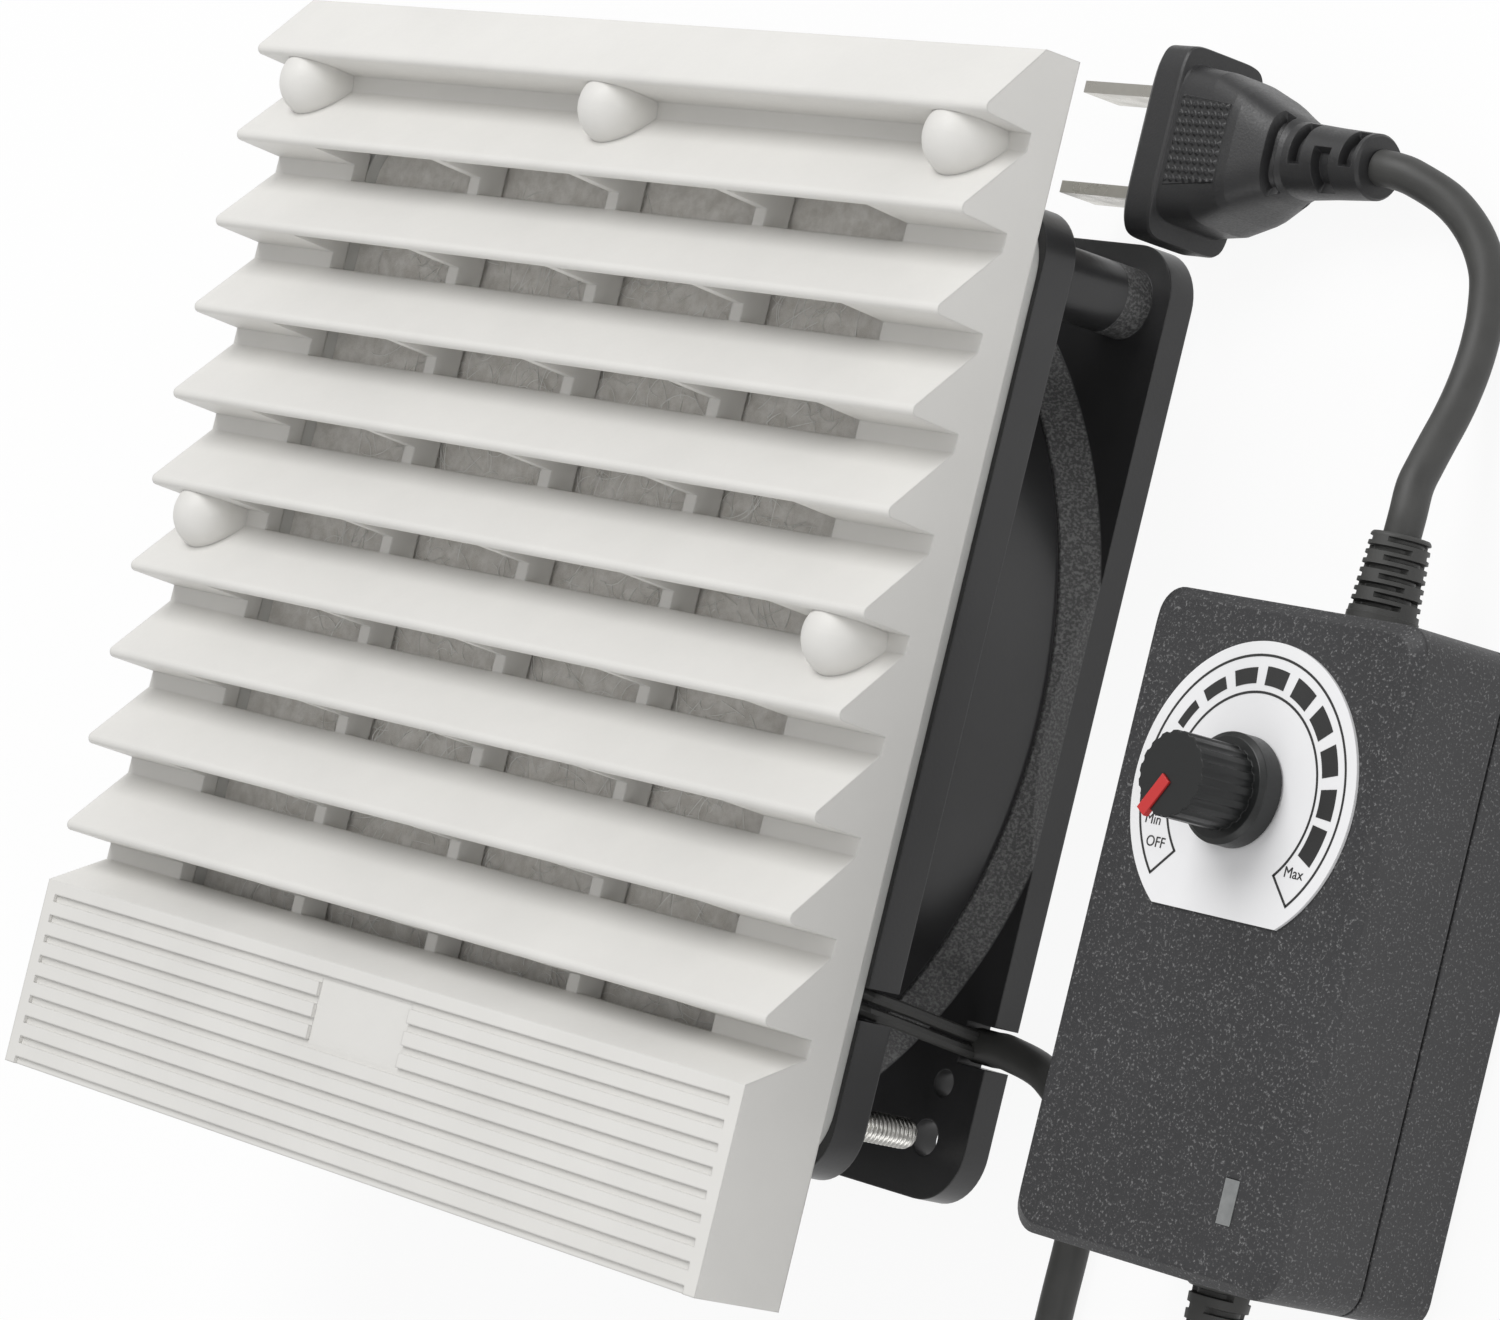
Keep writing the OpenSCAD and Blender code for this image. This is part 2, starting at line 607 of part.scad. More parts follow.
module fan_frame() {
    color([0.13, 0.13, 0.13]) difference() {
        union() {
            difference() {
                fanShell();
                translate([0, 0, -overrun]) cylinder(r = barrel_radius, h = fan_thickness + 2 * overrun);
                for (z = [0, front_z - mouth_bevel]) translate([0, 0, z]) cylinder(h = mouth_bevel,
                    r1 = z == 0 ? barrel_radius + mouth_bevel : barrel_radius,
                    r2 = z == 0 ? barrel_radius : barrel_radius + mouth_bevel);
                atHoles([-1, 1]) translate([0, 0, -overrun]) {
                    cylinder(d = hole_diameter, h = rear_flange + overrun);
                    cylinder(d = screw_hole_diameter, h = fan_thickness + 2 * overrun);
                }
            }
            motorMount();
        }
        translate([0, 0, tube_low - overrun])
            cylinder(r = shoulder_radius, h = fan_thickness);
        translate([0, 0, tube_low - overrun]) cylinder(r = bearing_radius,
            h = spring_z + spring_height + seat_gap - tube_low + overrun);
        translate([0, 0, front_bearing_z - seat_gap]) cylinder(r = bearing_radius, h = fan_thickness);
        rotate([0, 0, strut_angle]) translate([lead_inner_reach, -channel_width / 2, front_z - channel_depth])
            cube([lead_reach - lead_inner_reach, channel_width, channel_depth + overrun]);
        rotate([0, 0, strut_angle]) translate([lead_inner_reach, 0, seat_low - overrun])
            cylinder(d = seat_hole_diameter, h = seat_thickness + 2 * overrun);
        block(fan_size / 2, notch_y, -overrun, 2 * notch_depth, notch_width, rear_flange + 2 * overrun);
        block(fan_size / 2, front_notch_y, front_z - front_flange - overrun, 2 * notch_depth,
            channel_width, front_flange + 2 * overrun);
        translate([hook_hole[0], hook_hole[1], -overrun])
            cylinder(d = hook_hole_diameter, h = rear_flange + 2 * overrun);
    }
}
module fan_screws() {
    color([0.75, 0.75, 0.74]) atHoles([-1, 1]) {
        translate([0, 0, floor_top - screw_length]) cylinder(d = screw_diameter, h = screw_length);
        translate([0, 0, floor_top]) difference() {
            cylinder(d = head_diameter, h = head_height);
            for (turn = [0, 90]) rotate([0, 0, turn])
                block(0, 0, head_height / 2, head_diameter / 2, screw_diameter / 4, head_height);
        }
    }
}
module screw_nuts() {
    color([0.72, 0.72, 0.71]) atHoles([-1]) translate([0, 0, front_z - front_flange - nut_height])
        difference() {
            cylinder(r = nut_width / sqrt(3), h = nut_height, $fn = 6);
            translate([0, 0, -overrun]) cylinder(d = screw_diameter + 2 * seat_gap, h = nut_height + 2 * overrun);
        }
}

module impeller() {
    color([0.1, 0.1, 0.1]) {
        difference() {
            union() {
                rotate_extrude() polygon([[0, hub_low], [hub_radius - hub_round, hub_low],
                    [hub_radius, hub_low + hub_round], [hub_radius, hub_top],
                    [hub_radius - hub_wall, hub_top], [hub_radius - hub_wall, hub_low + hub_plate],
                    [hub_boss, hub_low + hub_plate], [hub_boss, tube_low - overrun],
                    [0, tube_low - overrun]]);
                for (k = [0:blade_count - 1]) rotate([0, 0, 360 / blade_count * k])
                    loft([for (j = [0:blade_steps]) bladeRing(j / blade_steps)]);
            }
            translate([0, 0, hub_low + hub_plate / 2]) cylinder(r = shaft_radius, h = fan_thickness);
        }
    }
}
module motor_shaft() {
    color([0.7, 0.7, 0.72]) difference() {
        translate([0, 0, hub_low + hub_plate / 2])
            cylinder(r = shaft_radius, h = front_z - overrun - hub_low - hub_plate / 2);
        ring(front_bearing_z + bearing_width + seat_gap, 2 * shaft_radius, shaft_radius - clip_groove, clip_groove);
    }
}
module rotor_yoke() {
    color([0.5, 0.5, 0.52]) ring(yoke_low, yoke_radius, yoke_radius - yoke_wall, yoke_height);
}
module rotor_magnet() {
    color([0.22, 0.2, 0.19]) ring(magnet_low, magnet_radius, magnet_radius - magnet_wall, magnet_height);
}
module stator_core() {
    color([0.45, 0.46, 0.48]) translate([0, 0, stator_low]) difference() {
        union() {
            cylinder(r = tube_radius + stator_ring, h = stator_height);
            for (k = [0:pole_count - 1]) rotate([0, 0, 360 / pole_count * k]) {
                translate([0, -pole_arm / 2, 0]) cube([stator_radius - pole_shoe / 2, pole_arm, stator_height]);
                rotate([0, 0, -pole_angle / 2]) rotate_extrude(angle = pole_angle)
                    translate([stator_radius - pole_shoe, 0]) square([pole_shoe, stator_height]);
            }
        }
        translate([0, 0, -overrun]) cylinder(r = tube_radius + seat_gap, h = stator_height + 2 * overrun);
    }
}
module stator_coils() {
    color([0.72, 0.42, 0.2]) for (k = [0:pole_count - 1]) rotate([0, 0, 360 / pole_count * k])
        difference() {
            block((coil_inner + coil_outer) / 2, 0, stator_low - coil_build, coil_outer - coil_inner,
                pole_arm + 2 * coil_build, stator_height + 2 * coil_build);
            block((coil_inner + coil_outer) / 2, 0, stator_low - seat_gap, coil_outer - coil_inner + overrun,
                pole_arm + 2 * seat_gap, stator_height + 2 * seat_gap);
        }
}
module motor_board() {
    color([0.1, 0.35, 0.2]) ring(board_z, board_radius, tube_radius + seat_gap, board_thickness);
}
module bearing(z) {
    color([0.68, 0.68, 0.7]) ring(z, bearing_radius - seat_gap / 2, shaft_radius + shaft_gap, bearing_width);
}
module front_bearing() { bearing(front_bearing_z); }
module rear_bearing() { bearing(rear_bearing_z); }
module preload_spring() {
    coil_radius = (shaft_radius + bearing_radius) / 2;
    steps = 10 * spring_turns;
    rise = spring_height - spring_wire;
    color([0.7, 0.7, 0.7]) loft([for (k = [0:steps])
        let (a = 360 * k / 10, mid = spring_z + spring_wire / 2 + rise * k / steps)
        [for (j = [0:5]) let (b = -60 * j)
            [(coil_radius + spring_wire / 2 * cos(b)) * cos(a),
             (coil_radius + spring_wire / 2 * cos(b)) * sin(a), mid + spring_wire / 2 * sin(b)]]]);
}
module shaft_clip() {
    color([0.72, 0.72, 0.72]) ring(front_bearing_z + bearing_width + seat_gap + clip_thickness / 8,
        clip_radius, shaft_radius - clip_groove + seat_gap, clip_thickness);
}
lead_turn = [[cos(strut_angle), sin(strut_angle)], [-sin(strut_angle), cos(strut_angle)]];
lead_z = front_z - channel_depth / 2;
function alongStrut(reach, side, z) = [reach * lead_turn[0][0] + side * lead_turn[1][0],
    reach * lead_turn[0][1] + side * lead_turn[1][1], z];
function leadPath(side) = concat(
    [for (p = lead_route) [p[0], notch_y + p[1] + side, p[2]]],
    [for (reach = [64, 54, 44, 34, 24, 19]) alongStrut(reach, side, lead_z)],
    [alongStrut(lead_inner_reach + 1, side, lead_z - 1), alongStrut(lead_inner_reach, side, lead_end_z + 2),
     alongStrut(lead_inner_reach, side, lead_end_z)]);
module fan_leads() {
    color([0.2, 0.2, 0.22]) for (s = [-1, 1])
        tube(leadPath(s * (lead_diameter + run_gap) / 2), lead_diameter / 2, 8);
}
module fan_cord() {
    color([0.3, 0.3, 0.29]) tube(fan_cord_route, cord_radius, 10);
}
module mains_cord() {
    color([0.3, 0.3, 0.29]) tube(mains_cord_route, cord_radius, 10);
}

module atBox() {
    translate([box_x, box_low + box_length / 2, 0]) children();
}
module boxPlate(inset, height) {
    roundPlate(box_width - 2 * inset, box_length - 2 * inset, box_radius, height, $fn = 32);
}
module controller_base() {
    color([0.12, 0.12, 0.12]) atBox() difference() {
        union() {
            hull() {
                boxPlate(box_bevel, box_bevel);
                translate([0, 0, box_bevel]) boxPlate(0, split_height - seam_gap - box_bevel);
            }
            translate([0, 0, split_height - seam_gap - lip_height]) boxPlate(box_wall - lip_wall, 2 * lip_height);
        }
        translate([0, 0, cavity_floor]) boxPlate(box_wall, box_height);
    }
}
module controller_lid() {
    color([0.13, 0.13, 0.13]) atBox() difference() {
        hull() {
            translate([0, 0, split_height]) boxPlate(0, box_height - split_height - box_bevel);
            translate([0, 0, box_height - box_bevel]) boxPlate(box_bevel, box_bevel);
        }
        translate([0, 0, split_height - overrun]) boxPlate(box_wall, box_height - split_height - lid_top_wall + overrun);
        translate([0, 0, split_height - overrun])
            boxPlate(box_wall - lip_wall - seat_gap, 2 * lip_height - lip_height - seam_gap + overrun + seat_gap);
        translate([0, box_length / 2 - dial_drop, 0]) cylinder(r = bushing_radius + seat_gap, h = box_height + overrun);
        block(lamp_offset, box_length / 2 - lamp_drop, split_height, lamp_width, lamp_length, box_height);
    }
}
module dial_plate() {
    color([0.93, 0.93, 0.93]) translate([box_x, dial_y, box_height]) difference() {
        cylinder(r = dial_radius, h = dial_thickness);
        translate([0, 0, -overrun]) cylinder(r = bushing_radius + seat_gap, h = dial_thickness + 2 * overrun);
        translate([-dial_radius, -2 * dial_radius - dial_foot, -overrun])
            cube([2 * dial_radius, 2 * dial_radius, dial_thickness + 2 * overrun]);
    }
}
module speed_knob() {
    color([0.09, 0.09, 0.09]) translate([box_x, dial_y, knob_low]) difference() {
        union() {
            cylinder(d = knob_diameter, h = skirt_height);
            translate([0, 0, skirt_height])
                cylinder(d1 = knob_diameter, d2 = knob_diameter - 2 * skirt_step, h = skirt_bevel);
            translate([0, 0, skirt_height / 2]) linear_extrude(knob_height - skirt_height / 2) difference() {
                circle(r = grip_rim_radius);
                for (k = [0:knob_grips - 1]) rotate(360 / knob_grips * (k + 1 / 2))
                    translate([grip_rim_radius + grip_radius * 2 / 3, 0]) circle(r = grip_radius, $fn = 16);
            }
        }
        translate([0, 0, -overrun]) cylinder(r = spindle_diameter / 2 + shaft_gap, h = spindle_depth + overrun);
        rotate([0, 0, knob_off_angle]) translate([pointer_start - seat_gap, -pointer_width / 2 - seat_gap,
            knob_height - pointer_height])
            cube([pointer_length, pointer_width + 2 * seat_gap, knob_height]);
    }
}
module knob_pointer() {
    color([0.8, 0.12, 0.1]) translate([box_x, dial_y, knob_low]) rotate([0, 0, knob_off_angle])
        translate([pointer_start, -pointer_width / 2, knob_height - pointer_height + seat_gap])
            cube([pointer_length - pointer_start, pointer_width, pointer_height + pointer_rise]);
}
module control_spindle() {
    low = box_height - lid_top_wall - control_height / 2;
    color([0.7, 0.7, 0.72]) translate([box_x, dial_y, low])
        cylinder(d = spindle_diameter, h = knob_low + spindle_depth - seat_gap - low);
}
module speed_control() {
    top = box_height - lid_top_wall - seat_gap;
    color([0.45, 0.45, 0.47]) translate([box_x, dial_y, 0]) difference() {
        union() {
            translate([0, 0, top - control_height]) cylinder(r = control_radius, h = control_height);
            translate([0, 0, top - seat_gap]) cylinder(r = bushing_radius, h = lid_top_wall + 2 * seat_gap);
        }
        translate([0, 0, box_height - lid_top_wall - control_height / 2 - seat_gap])
            cylinder(r = spindle_diameter / 2 + shaft_gap, h = box_height);
    }
}
module controller_board() {
    board_top = box_height - lid_top_wall - control_height - 2 * seat_gap;
    color([0.12, 0.4, 0.22]) atBox() union() {
        translate([0, 0, board_top - board_thickness])
            boxPlate(box_wall + run_gap, board_thickness);
        block(0, -box_length / 4, cavity_floor + run_gap, box_width / 2, box_length / 4,
            board_top - cavity_floor - run_gap - board_thickness / 2);
    }
}
module lamp_window() {
    color([0.45, 0.45, 0.45]) atBox() block(lamp_offset, box_length / 2 - lamp_drop,
        box_height - lid_top_wall, lamp_width - 2 * seat_gap, lamp_length - 2 * seat_gap, lid_top_wall + seat_gap);
}
module relief(y, turn) {
    groove_pitch = relief_length / (relief_grooves + 1);
    slope = (relief_root - relief_end) / 2 / relief_length;
    color([0.14, 0.14, 0.14]) translate([box_x, y, relief_z]) rotate([turn, 0, 0]) difference() {
        cylinder(d1 = relief_root, d2 = relief_end, h = relief_length);
        for (k = [1:relief_grooves]) ring(groove_pitch * k, relief_root,
            relief_root / 2 - slope * groove_pitch * k - groove_depth, groove_width);
    }
}
module outlet_relief() { relief(box_low, 90); }
module inlet_relief() { relief(box_high, -90); }
module plug_body() {
    flange_x = plug_tail - plug_length;
    taper_x = flange_x + plug_flange_length + plug_length / 3;
    color([0.1, 0.1, 0.1]) difference() {
        union() {
            translate([flange_x + plug_flange_length / 2, plug_y, 0])
                roundPlate(plug_flange_length, plug_flange_width, plug_flange_length / 4, plug_thickness, $fn = 32);
            hull() {
                block(flange_x + plug_flange_length, plug_y, plug_bevel, overrun, plug_body_width,
                    plug_thickness - 2 * plug_bevel);
                block(taper_x, plug_y, plug_bevel, overrun, plug_body_width * 3 / 4,
                    plug_thickness - 2 * plug_bevel);
                translate([taper_x + plug_length / 4, plug_y, plug_z]) rotate([0, 90, 0])
                    cylinder(d = plug_neck_width, h = overrun, $fn = 32);
            }
            translate([taper_x, plug_y, plug_z]) rotate([0, 90, 0])
                cylinder(d = plug_neck_width, h = plug_tail - taper_x);
        }
        for (s = [-1, 1]) block(flange_x, plug_y + s * blade_spacing / 2, plug_z - plug_blade_width / 2,
            2 * plug_blade_root, plug_blade_thickness, plug_blade_width);
    }
}
module plug_blades() {
    tip_x = plug_tail - plug_length - plug_blade_length;
    color([0.75, 0.74, 0.7]) for (s = [-1, 1])
        block(tip_x + (plug_blade_length + plug_blade_root) / 2, plug_y + s * blade_spacing / 2,
            plug_z - plug_blade_width / 2, plug_blade_length + plug_blade_root,
            plug_blade_thickness, plug_blade_width);
}

louvre_cover();
filter_mat();
base_frame();
panel_gasket();
fan_frame();
fan_screws();
screw_nuts();
impeller();
motor_shaft();
rotor_yoke();
rotor_magnet();
stator_core();
stator_coils();
motor_board();
front_bearing();
rear_bearing();
preload_spring();
shaft_clip();
fan_leads();
fan_cord();
mains_cord();
controller_base();
controller_lid();
dial_plate();
speed_knob();
knob_pointer();
control_spindle();
speed_control();
controller_board();
lamp_window();
outlet_relief();
inlet_relief();
plug_body();
plug_blades();
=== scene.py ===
import math

import bpy
import numpy as np
from mathutils import Matrix, Vector


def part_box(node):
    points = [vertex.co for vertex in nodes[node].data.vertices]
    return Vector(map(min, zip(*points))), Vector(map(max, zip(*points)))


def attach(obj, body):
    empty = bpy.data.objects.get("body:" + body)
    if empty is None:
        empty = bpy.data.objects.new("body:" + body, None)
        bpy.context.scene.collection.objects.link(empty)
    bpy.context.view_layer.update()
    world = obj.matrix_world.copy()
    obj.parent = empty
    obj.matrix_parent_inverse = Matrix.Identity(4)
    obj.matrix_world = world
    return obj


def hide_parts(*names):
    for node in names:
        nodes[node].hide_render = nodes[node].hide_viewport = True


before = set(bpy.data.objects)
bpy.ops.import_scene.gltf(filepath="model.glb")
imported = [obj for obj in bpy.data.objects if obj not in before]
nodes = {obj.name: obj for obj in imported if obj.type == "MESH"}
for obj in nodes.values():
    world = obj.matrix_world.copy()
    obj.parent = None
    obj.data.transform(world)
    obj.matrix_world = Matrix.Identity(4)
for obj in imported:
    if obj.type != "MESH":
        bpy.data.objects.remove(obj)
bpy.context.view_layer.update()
mm = 0.001

# Camera: where the photograph was taken from, in millimetres of the fan's own frame

camera = {
    "place": (561.46, -21.98, 473.31),
    "forward": (-0.76769, 0.03055, -0.64009),
    "right": (0.62790, 0.23546, -0.74183),
    "lens": 135.66,
    "sensor": 36,
    "clip": (0.01, 20),
}


# The camera's axes: right is made square to forward, and up is their cross product
def placeCamera(values):
    forward = Vector(values["forward"]).normalized()
    right = Vector(values["right"])
    right = (right - forward * right.dot(forward)).normalized()
    up = right.cross(forward)
    turn = Matrix((right, up, -forward)).transposed().to_4x4()
    data = bpy.data.cameras.new("photoCamera")
    data.lens = values["lens"]
    data.sensor_width = values["sensor"]
    data.sensor_fit = "HORIZONTAL"
    data.clip_start, data.clip_end = values["clip"]
    holder = bpy.data.objects.new("photoCamera", data)
    bpy.context.scene.collection.objects.link(holder)
    holder.matrix_world = Matrix.Translation(Vector(values["place"]) * mm) @ turn
    bpy.context.scene.camera = holder


placeCamera(camera)
print("camera placed")

# Small helpers: node trees and meshes worked out as whole arrays

# The Mix node's sockets when it mixes colours
mixFactor, mixFirst, mixSecond, mixResult = 0, 6, 7, 2

# Ranges of a noise texture's values: where most of them lie, and where they show as patches
noiseSpread = (0.3, 0.7)
patchSpread = (0.35, 0.7)

# How many rays find an edge to soften
edgeRays = 6


# A new material, ready for textures. Gives the material and its node tree
def finish(name, color, rough=0.5, metal=0.0, specular=0.5):
    made = bpy.data.materials.new(name)
    made.use_nodes = True
    shader = made.node_tree.nodes["Principled BSDF"]
    shader.inputs["Base Color"].default_value = (*color, 1)
    shader.inputs["Roughness"].default_value = rough
    shader.inputs["Metallic"].default_value = metal
    shader.inputs["Specular IOR Level"].default_value = specular
    return made, made.node_tree


# One shader node. Values go on its sockets, feeds are linked into them and settings are its own choices
def wire(tree, kind, values=None, feeds=None, **settings):
    made = tree.nodes.new("ShaderNode" + kind)
    for key, value in settings.items():
        setattr(made, key, value)
    for socket, value in (values or {}).items():
        made.inputs[socket].default_value = value
    for socket, source in (feeds or {}).items():
        tree.links.new(source, made.inputs[socket])
    return made


# A colour that goes from first to second with the factor
def blendColors(tree, factor, first, second):
    made = wire(tree, "Mix", data_type="RGBA")
    tree.links.new(factor, made.inputs[mixFactor])
    for socket, value in ((mixFirst, first), (mixSecond, second)):
        if isinstance(value, tuple):
            made.inputs[socket].default_value = (*value, 1)
        else:
            tree.links.new(value, made.inputs[socket])
    return made.outputs[mixResult]


# A number carried from one range to another, held at its ends
def remap(tree, source, low, high, newLow, newHigh):
    values = {"From Min": low, "From Max": high, "To Min": newLow, "To Max": newHigh}
    return wire(tree, "MapRange", values, {"Value": source}).outputs["Result"]


# A colour times a share, each part held at 1
def tinted(color, share):
    return tuple(min(1.0, part * share) for part in color)


# Random values from 0 to 1 over the piece: a larger scale is finer, and detail adds finer layers
def noise(tree, where, values):
    return wire(tree, "TexNoise", values, {"Vector": where}).outputs["Fac"]


# Links a value worked out by nodes into the shader
def feed(tree, socket, source):
    tree.links.new(source, tree.nodes["Principled BSDF"].inputs[socket])


# Lets the roughness swing with a noise, from its value plus the first number to its value plus the second
def varyRough(tree, source, rough, swing):
    feed(tree, "Roughness", remap(tree, source, *noiseSpread, rough + swing[0], rough + swing[1]))


# Small relief: a bump of a depth in millimetres from a height, with edges softened by a radius if it has one
def emboss(tree, height, depth, soften=0.0):
    bump = wire(tree, "Bump", {"Strength": 1.0, "Distance": depth * mm}, {"Height": height})
    if soften:
        edge = wire(tree, "Bevel", {"Radius": soften * mm}, samples=edgeRays)
        tree.links.new(edge.outputs["Normal"], bump.inputs["Normal"])
    feed(tree, "Normal", bump.outputs["Normal"])


plasticLook = {
    "cloud": {"Scale": 45, "Detail": 5, "Roughness": 0.6},
    "grain": {"Detail": 3, "Roughness": 0.55},
    "swing": (-0.06, 0.08),
    "fleckSpread": (0.56, 0.72),
    "fleckColor": (0.45, 0.45, 0.45),
}


# Moulded plastic: slow clouding of its colour, a fine spark-eroded grain, softened edges and, where asked,
# pale flecks. The colour goes from 1 less cloudy to 1 plus cloudy times its own
def plastic(name, color, rough=0.45, grainSize=0.35, grainDepth=0.02, cloudy=0.05, soften=0.0, speck=0.0):
    look = plasticLook
    made, tree = finish(name, color, rough)
    where = wire(tree, "TexCoord").outputs["Object"]
    cloud = noise(tree, where, look["cloud"])
    grain = noise(tree, where, {"Scale": 1 / (grainSize * mm), **look["grain"]})
    shade = blendColors(tree, remap(tree, cloud, *noiseSpread, 0, 1),
                        tinted(color, 1 - cloudy), tinted(color, 1 + cloudy))
    if speck:
        flecks = remap(tree, grain, *look["fleckSpread"], 0, speck)
        shade = blendColors(tree, flecks, shade, look["fleckColor"])
    feed(tree, "Base Color", shade)
    varyRough(tree, grain, rough, look["swing"])
    emboss(tree, grain, grainDepth, soften)
    return made


steelLook = {
    "lineDetail": 2,
    "patches": {"Scale": 250, "Detail": 4},
    "swing": (-0.05, 0.12),
}


# Bare metal: fine drawn lines, a noise squeezed across one direction, and patches where it has gone dull
def steel(name, color, rough=0.3, stretch=(1, 1, 20), size=0.3, depth=0.004, stains=0.15):
    look = steelLook
    made, tree = finish(name, color, rough, metal=1.0)
    where = wire(tree, "TexCoord").outputs["Object"]
    pulled = wire(tree, "Mapping", {"Scale": stretch}, {"Vector": where}).outputs["Vector"]
    lines = noise(tree, pulled, {"Scale": 1 / (size * mm), "Detail": look["lineDetail"]})
    patches = noise(tree, where, look["patches"])
    feed(tree, "Base Color", blendColors(tree, remap(tree, patches, *patchSpread, 0, 1),
                                         color, tinted(color, 1 - stains)))
    varyRough(tree, patches, rough, look["swing"])
    emboss(tree, lines, depth)
    return made


# The squares of a grid of points, whose last column may join its first
def gridQuads(rows, columns, loopColumns=False):
    row, column = np.meshgrid(np.arange(rows - 1), np.arange(columns - (not loopColumns)), indexing="ij")
    nextColumn = (column + 1) % columns
    corners = [row * columns + column, (row + 1) * columns + column,
               (row + 1) * columns + nextColumn, row * columns + nextColumn]
    return np.stack(corners, -1).reshape(-1, 4)


# The angles of a ring's points, from 0 round to one step short of a whole turn
def fullTurn(sides):
    return np.linspace(0, 2 * np.pi, sides, endpoint=False)


# A stack of rings that runs along its own turning axis, with a face on each end, all facing out
def ringFaces(rings, sides):
    faces = gridQuads(rings, sides, loopColumns=True)[:, ::-1].tolist()
    return faces + [list(range(sides))[::-1], list(range((rings - 1) * sides, rings * sides))]


# Two grids of points of the same size, one above the other, as a closed pad with a wall round it
def padOf(upper, lower):
    rows, columns = upper.shape[:2]
    index = np.arange(rows * columns).reshape(rows, columns)
    rim = np.concatenate([index[:-1, 0], index[-1, :-1], index[:0:-1, -1], index[0, :0:-1]])
    under = rim + index.size
    wall = np.stack([rim, under, np.roll(under, -1), np.roll(rim, -1)], -1)
    whole = gridQuads(rows, columns)
    faces = np.vstack([whole, whole[:, ::-1] + index.size, wall]).tolist()
    return np.vstack([upper.reshape(-1, 3), lower.reshape(-1, 3)]), faces


# Puts worked-out points, in millimetres, into a mesh that moves with a body
def makePiece(name, points, faces, body, material, slot, sharp=40):
    mesh = bpy.data.meshes.new(name)
    mesh.from_pydata((np.asarray(points) * mm).tolist(), [], [list(map(int, face)) for face in faces])
    mesh.update()
    mesh.shade_smooth()
    mesh.set_sharp_from_angle(angle=math.radians(sharp))
    mesh.materials.append(material)
    holder = bpy.data.objects.new(name, mesh)
    bpy.context.scene.collection.objects.link(holder)
    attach(holder, body)
    return holder


# A route's points joined by one smooth curve: each span is the cubic whose ends head along the chord
# between the points on either side of them
def smoothRoute(route, perSpan):
    points = np.array(route, float)
    padded = np.vstack([2 * points[0] - points[1], points, 2 * points[-1] - points[-2]])
    share = np.linspace(0, 1, perSpan, endpoint=False)[:, None, None]
    before, first, second, after = padded[:-3], padded[1:-2], padded[2:-1], padded[3:]
    curve = 0.5 * (2 * first + (second - before) * share
                   + (2 * before - 5 * first + 4 * second - after) * share ** 2
                   + (3 * first - before - 3 * second + after) * share ** 3)
    return np.vstack([curve.transpose(1, 0, 2).reshape(-1, 3), points[-1]])


# A heading whose upward share is over this counts as upright
nearlyUpright = 0.95


# Rings of a round tube: at each point of the path a circle square to its heading, and a face on each
# end. The sideways direction is the cross product of up and the heading, and up is the first axis where the
# heading is upright
def tubeAlong(path, radius, sides):
    heading = np.gradient(path, axis=0)
    heading /= np.linalg.norm(heading, axis=1)[:, None]
    up = np.where(np.abs(heading[:, 2:3]) > nearlyUpright, (1.0, 0.0, 0.0), (0.0, 0.0, 1.0))
    side = np.cross(up, heading)
    side /= np.linalg.norm(side, axis=1)[:, None]
    over = np.cross(heading, side)
    turn = fullTurn(sides)[None, :, None]
    reach = np.broadcast_to(np.asarray(radius, float), (len(path),))[:, None, None]
    rings = path[:, None] + reach * (np.cos(turn) * side[:, None] + np.sin(turn) * over[:, None])
    return rings.reshape(-1, 3), ringFaces(len(path), sides)


# Several shapes as one, each given as points and faces
def joined(parts):
    points, faces, start = [], [], 0
    for some, theirs in parts:
        points.append(some)
        faces += [[corner + start for corner in face] for face in theirs]
        start += len(some)
    return np.vstack(points), faces


# A flat outline with a thickness: its points low and high, a wall round it and both faces
def slab(outline, low, high):
    flat = np.array(outline, float)
    count = len(flat)
    points = np.vstack([np.c_[flat, np.full(count, low)], np.c_[flat, np.full(count, high)]])
    faces = gridQuads(2, count, loopColumns=True)[:, ::-1].tolist()
    return points, faces + [list(range(count))[::-1], list(range(count, 2 * count))]


print("helpers ready")

# Cords: the routes lie where the part's own cords lie, in metres of the fan's frame

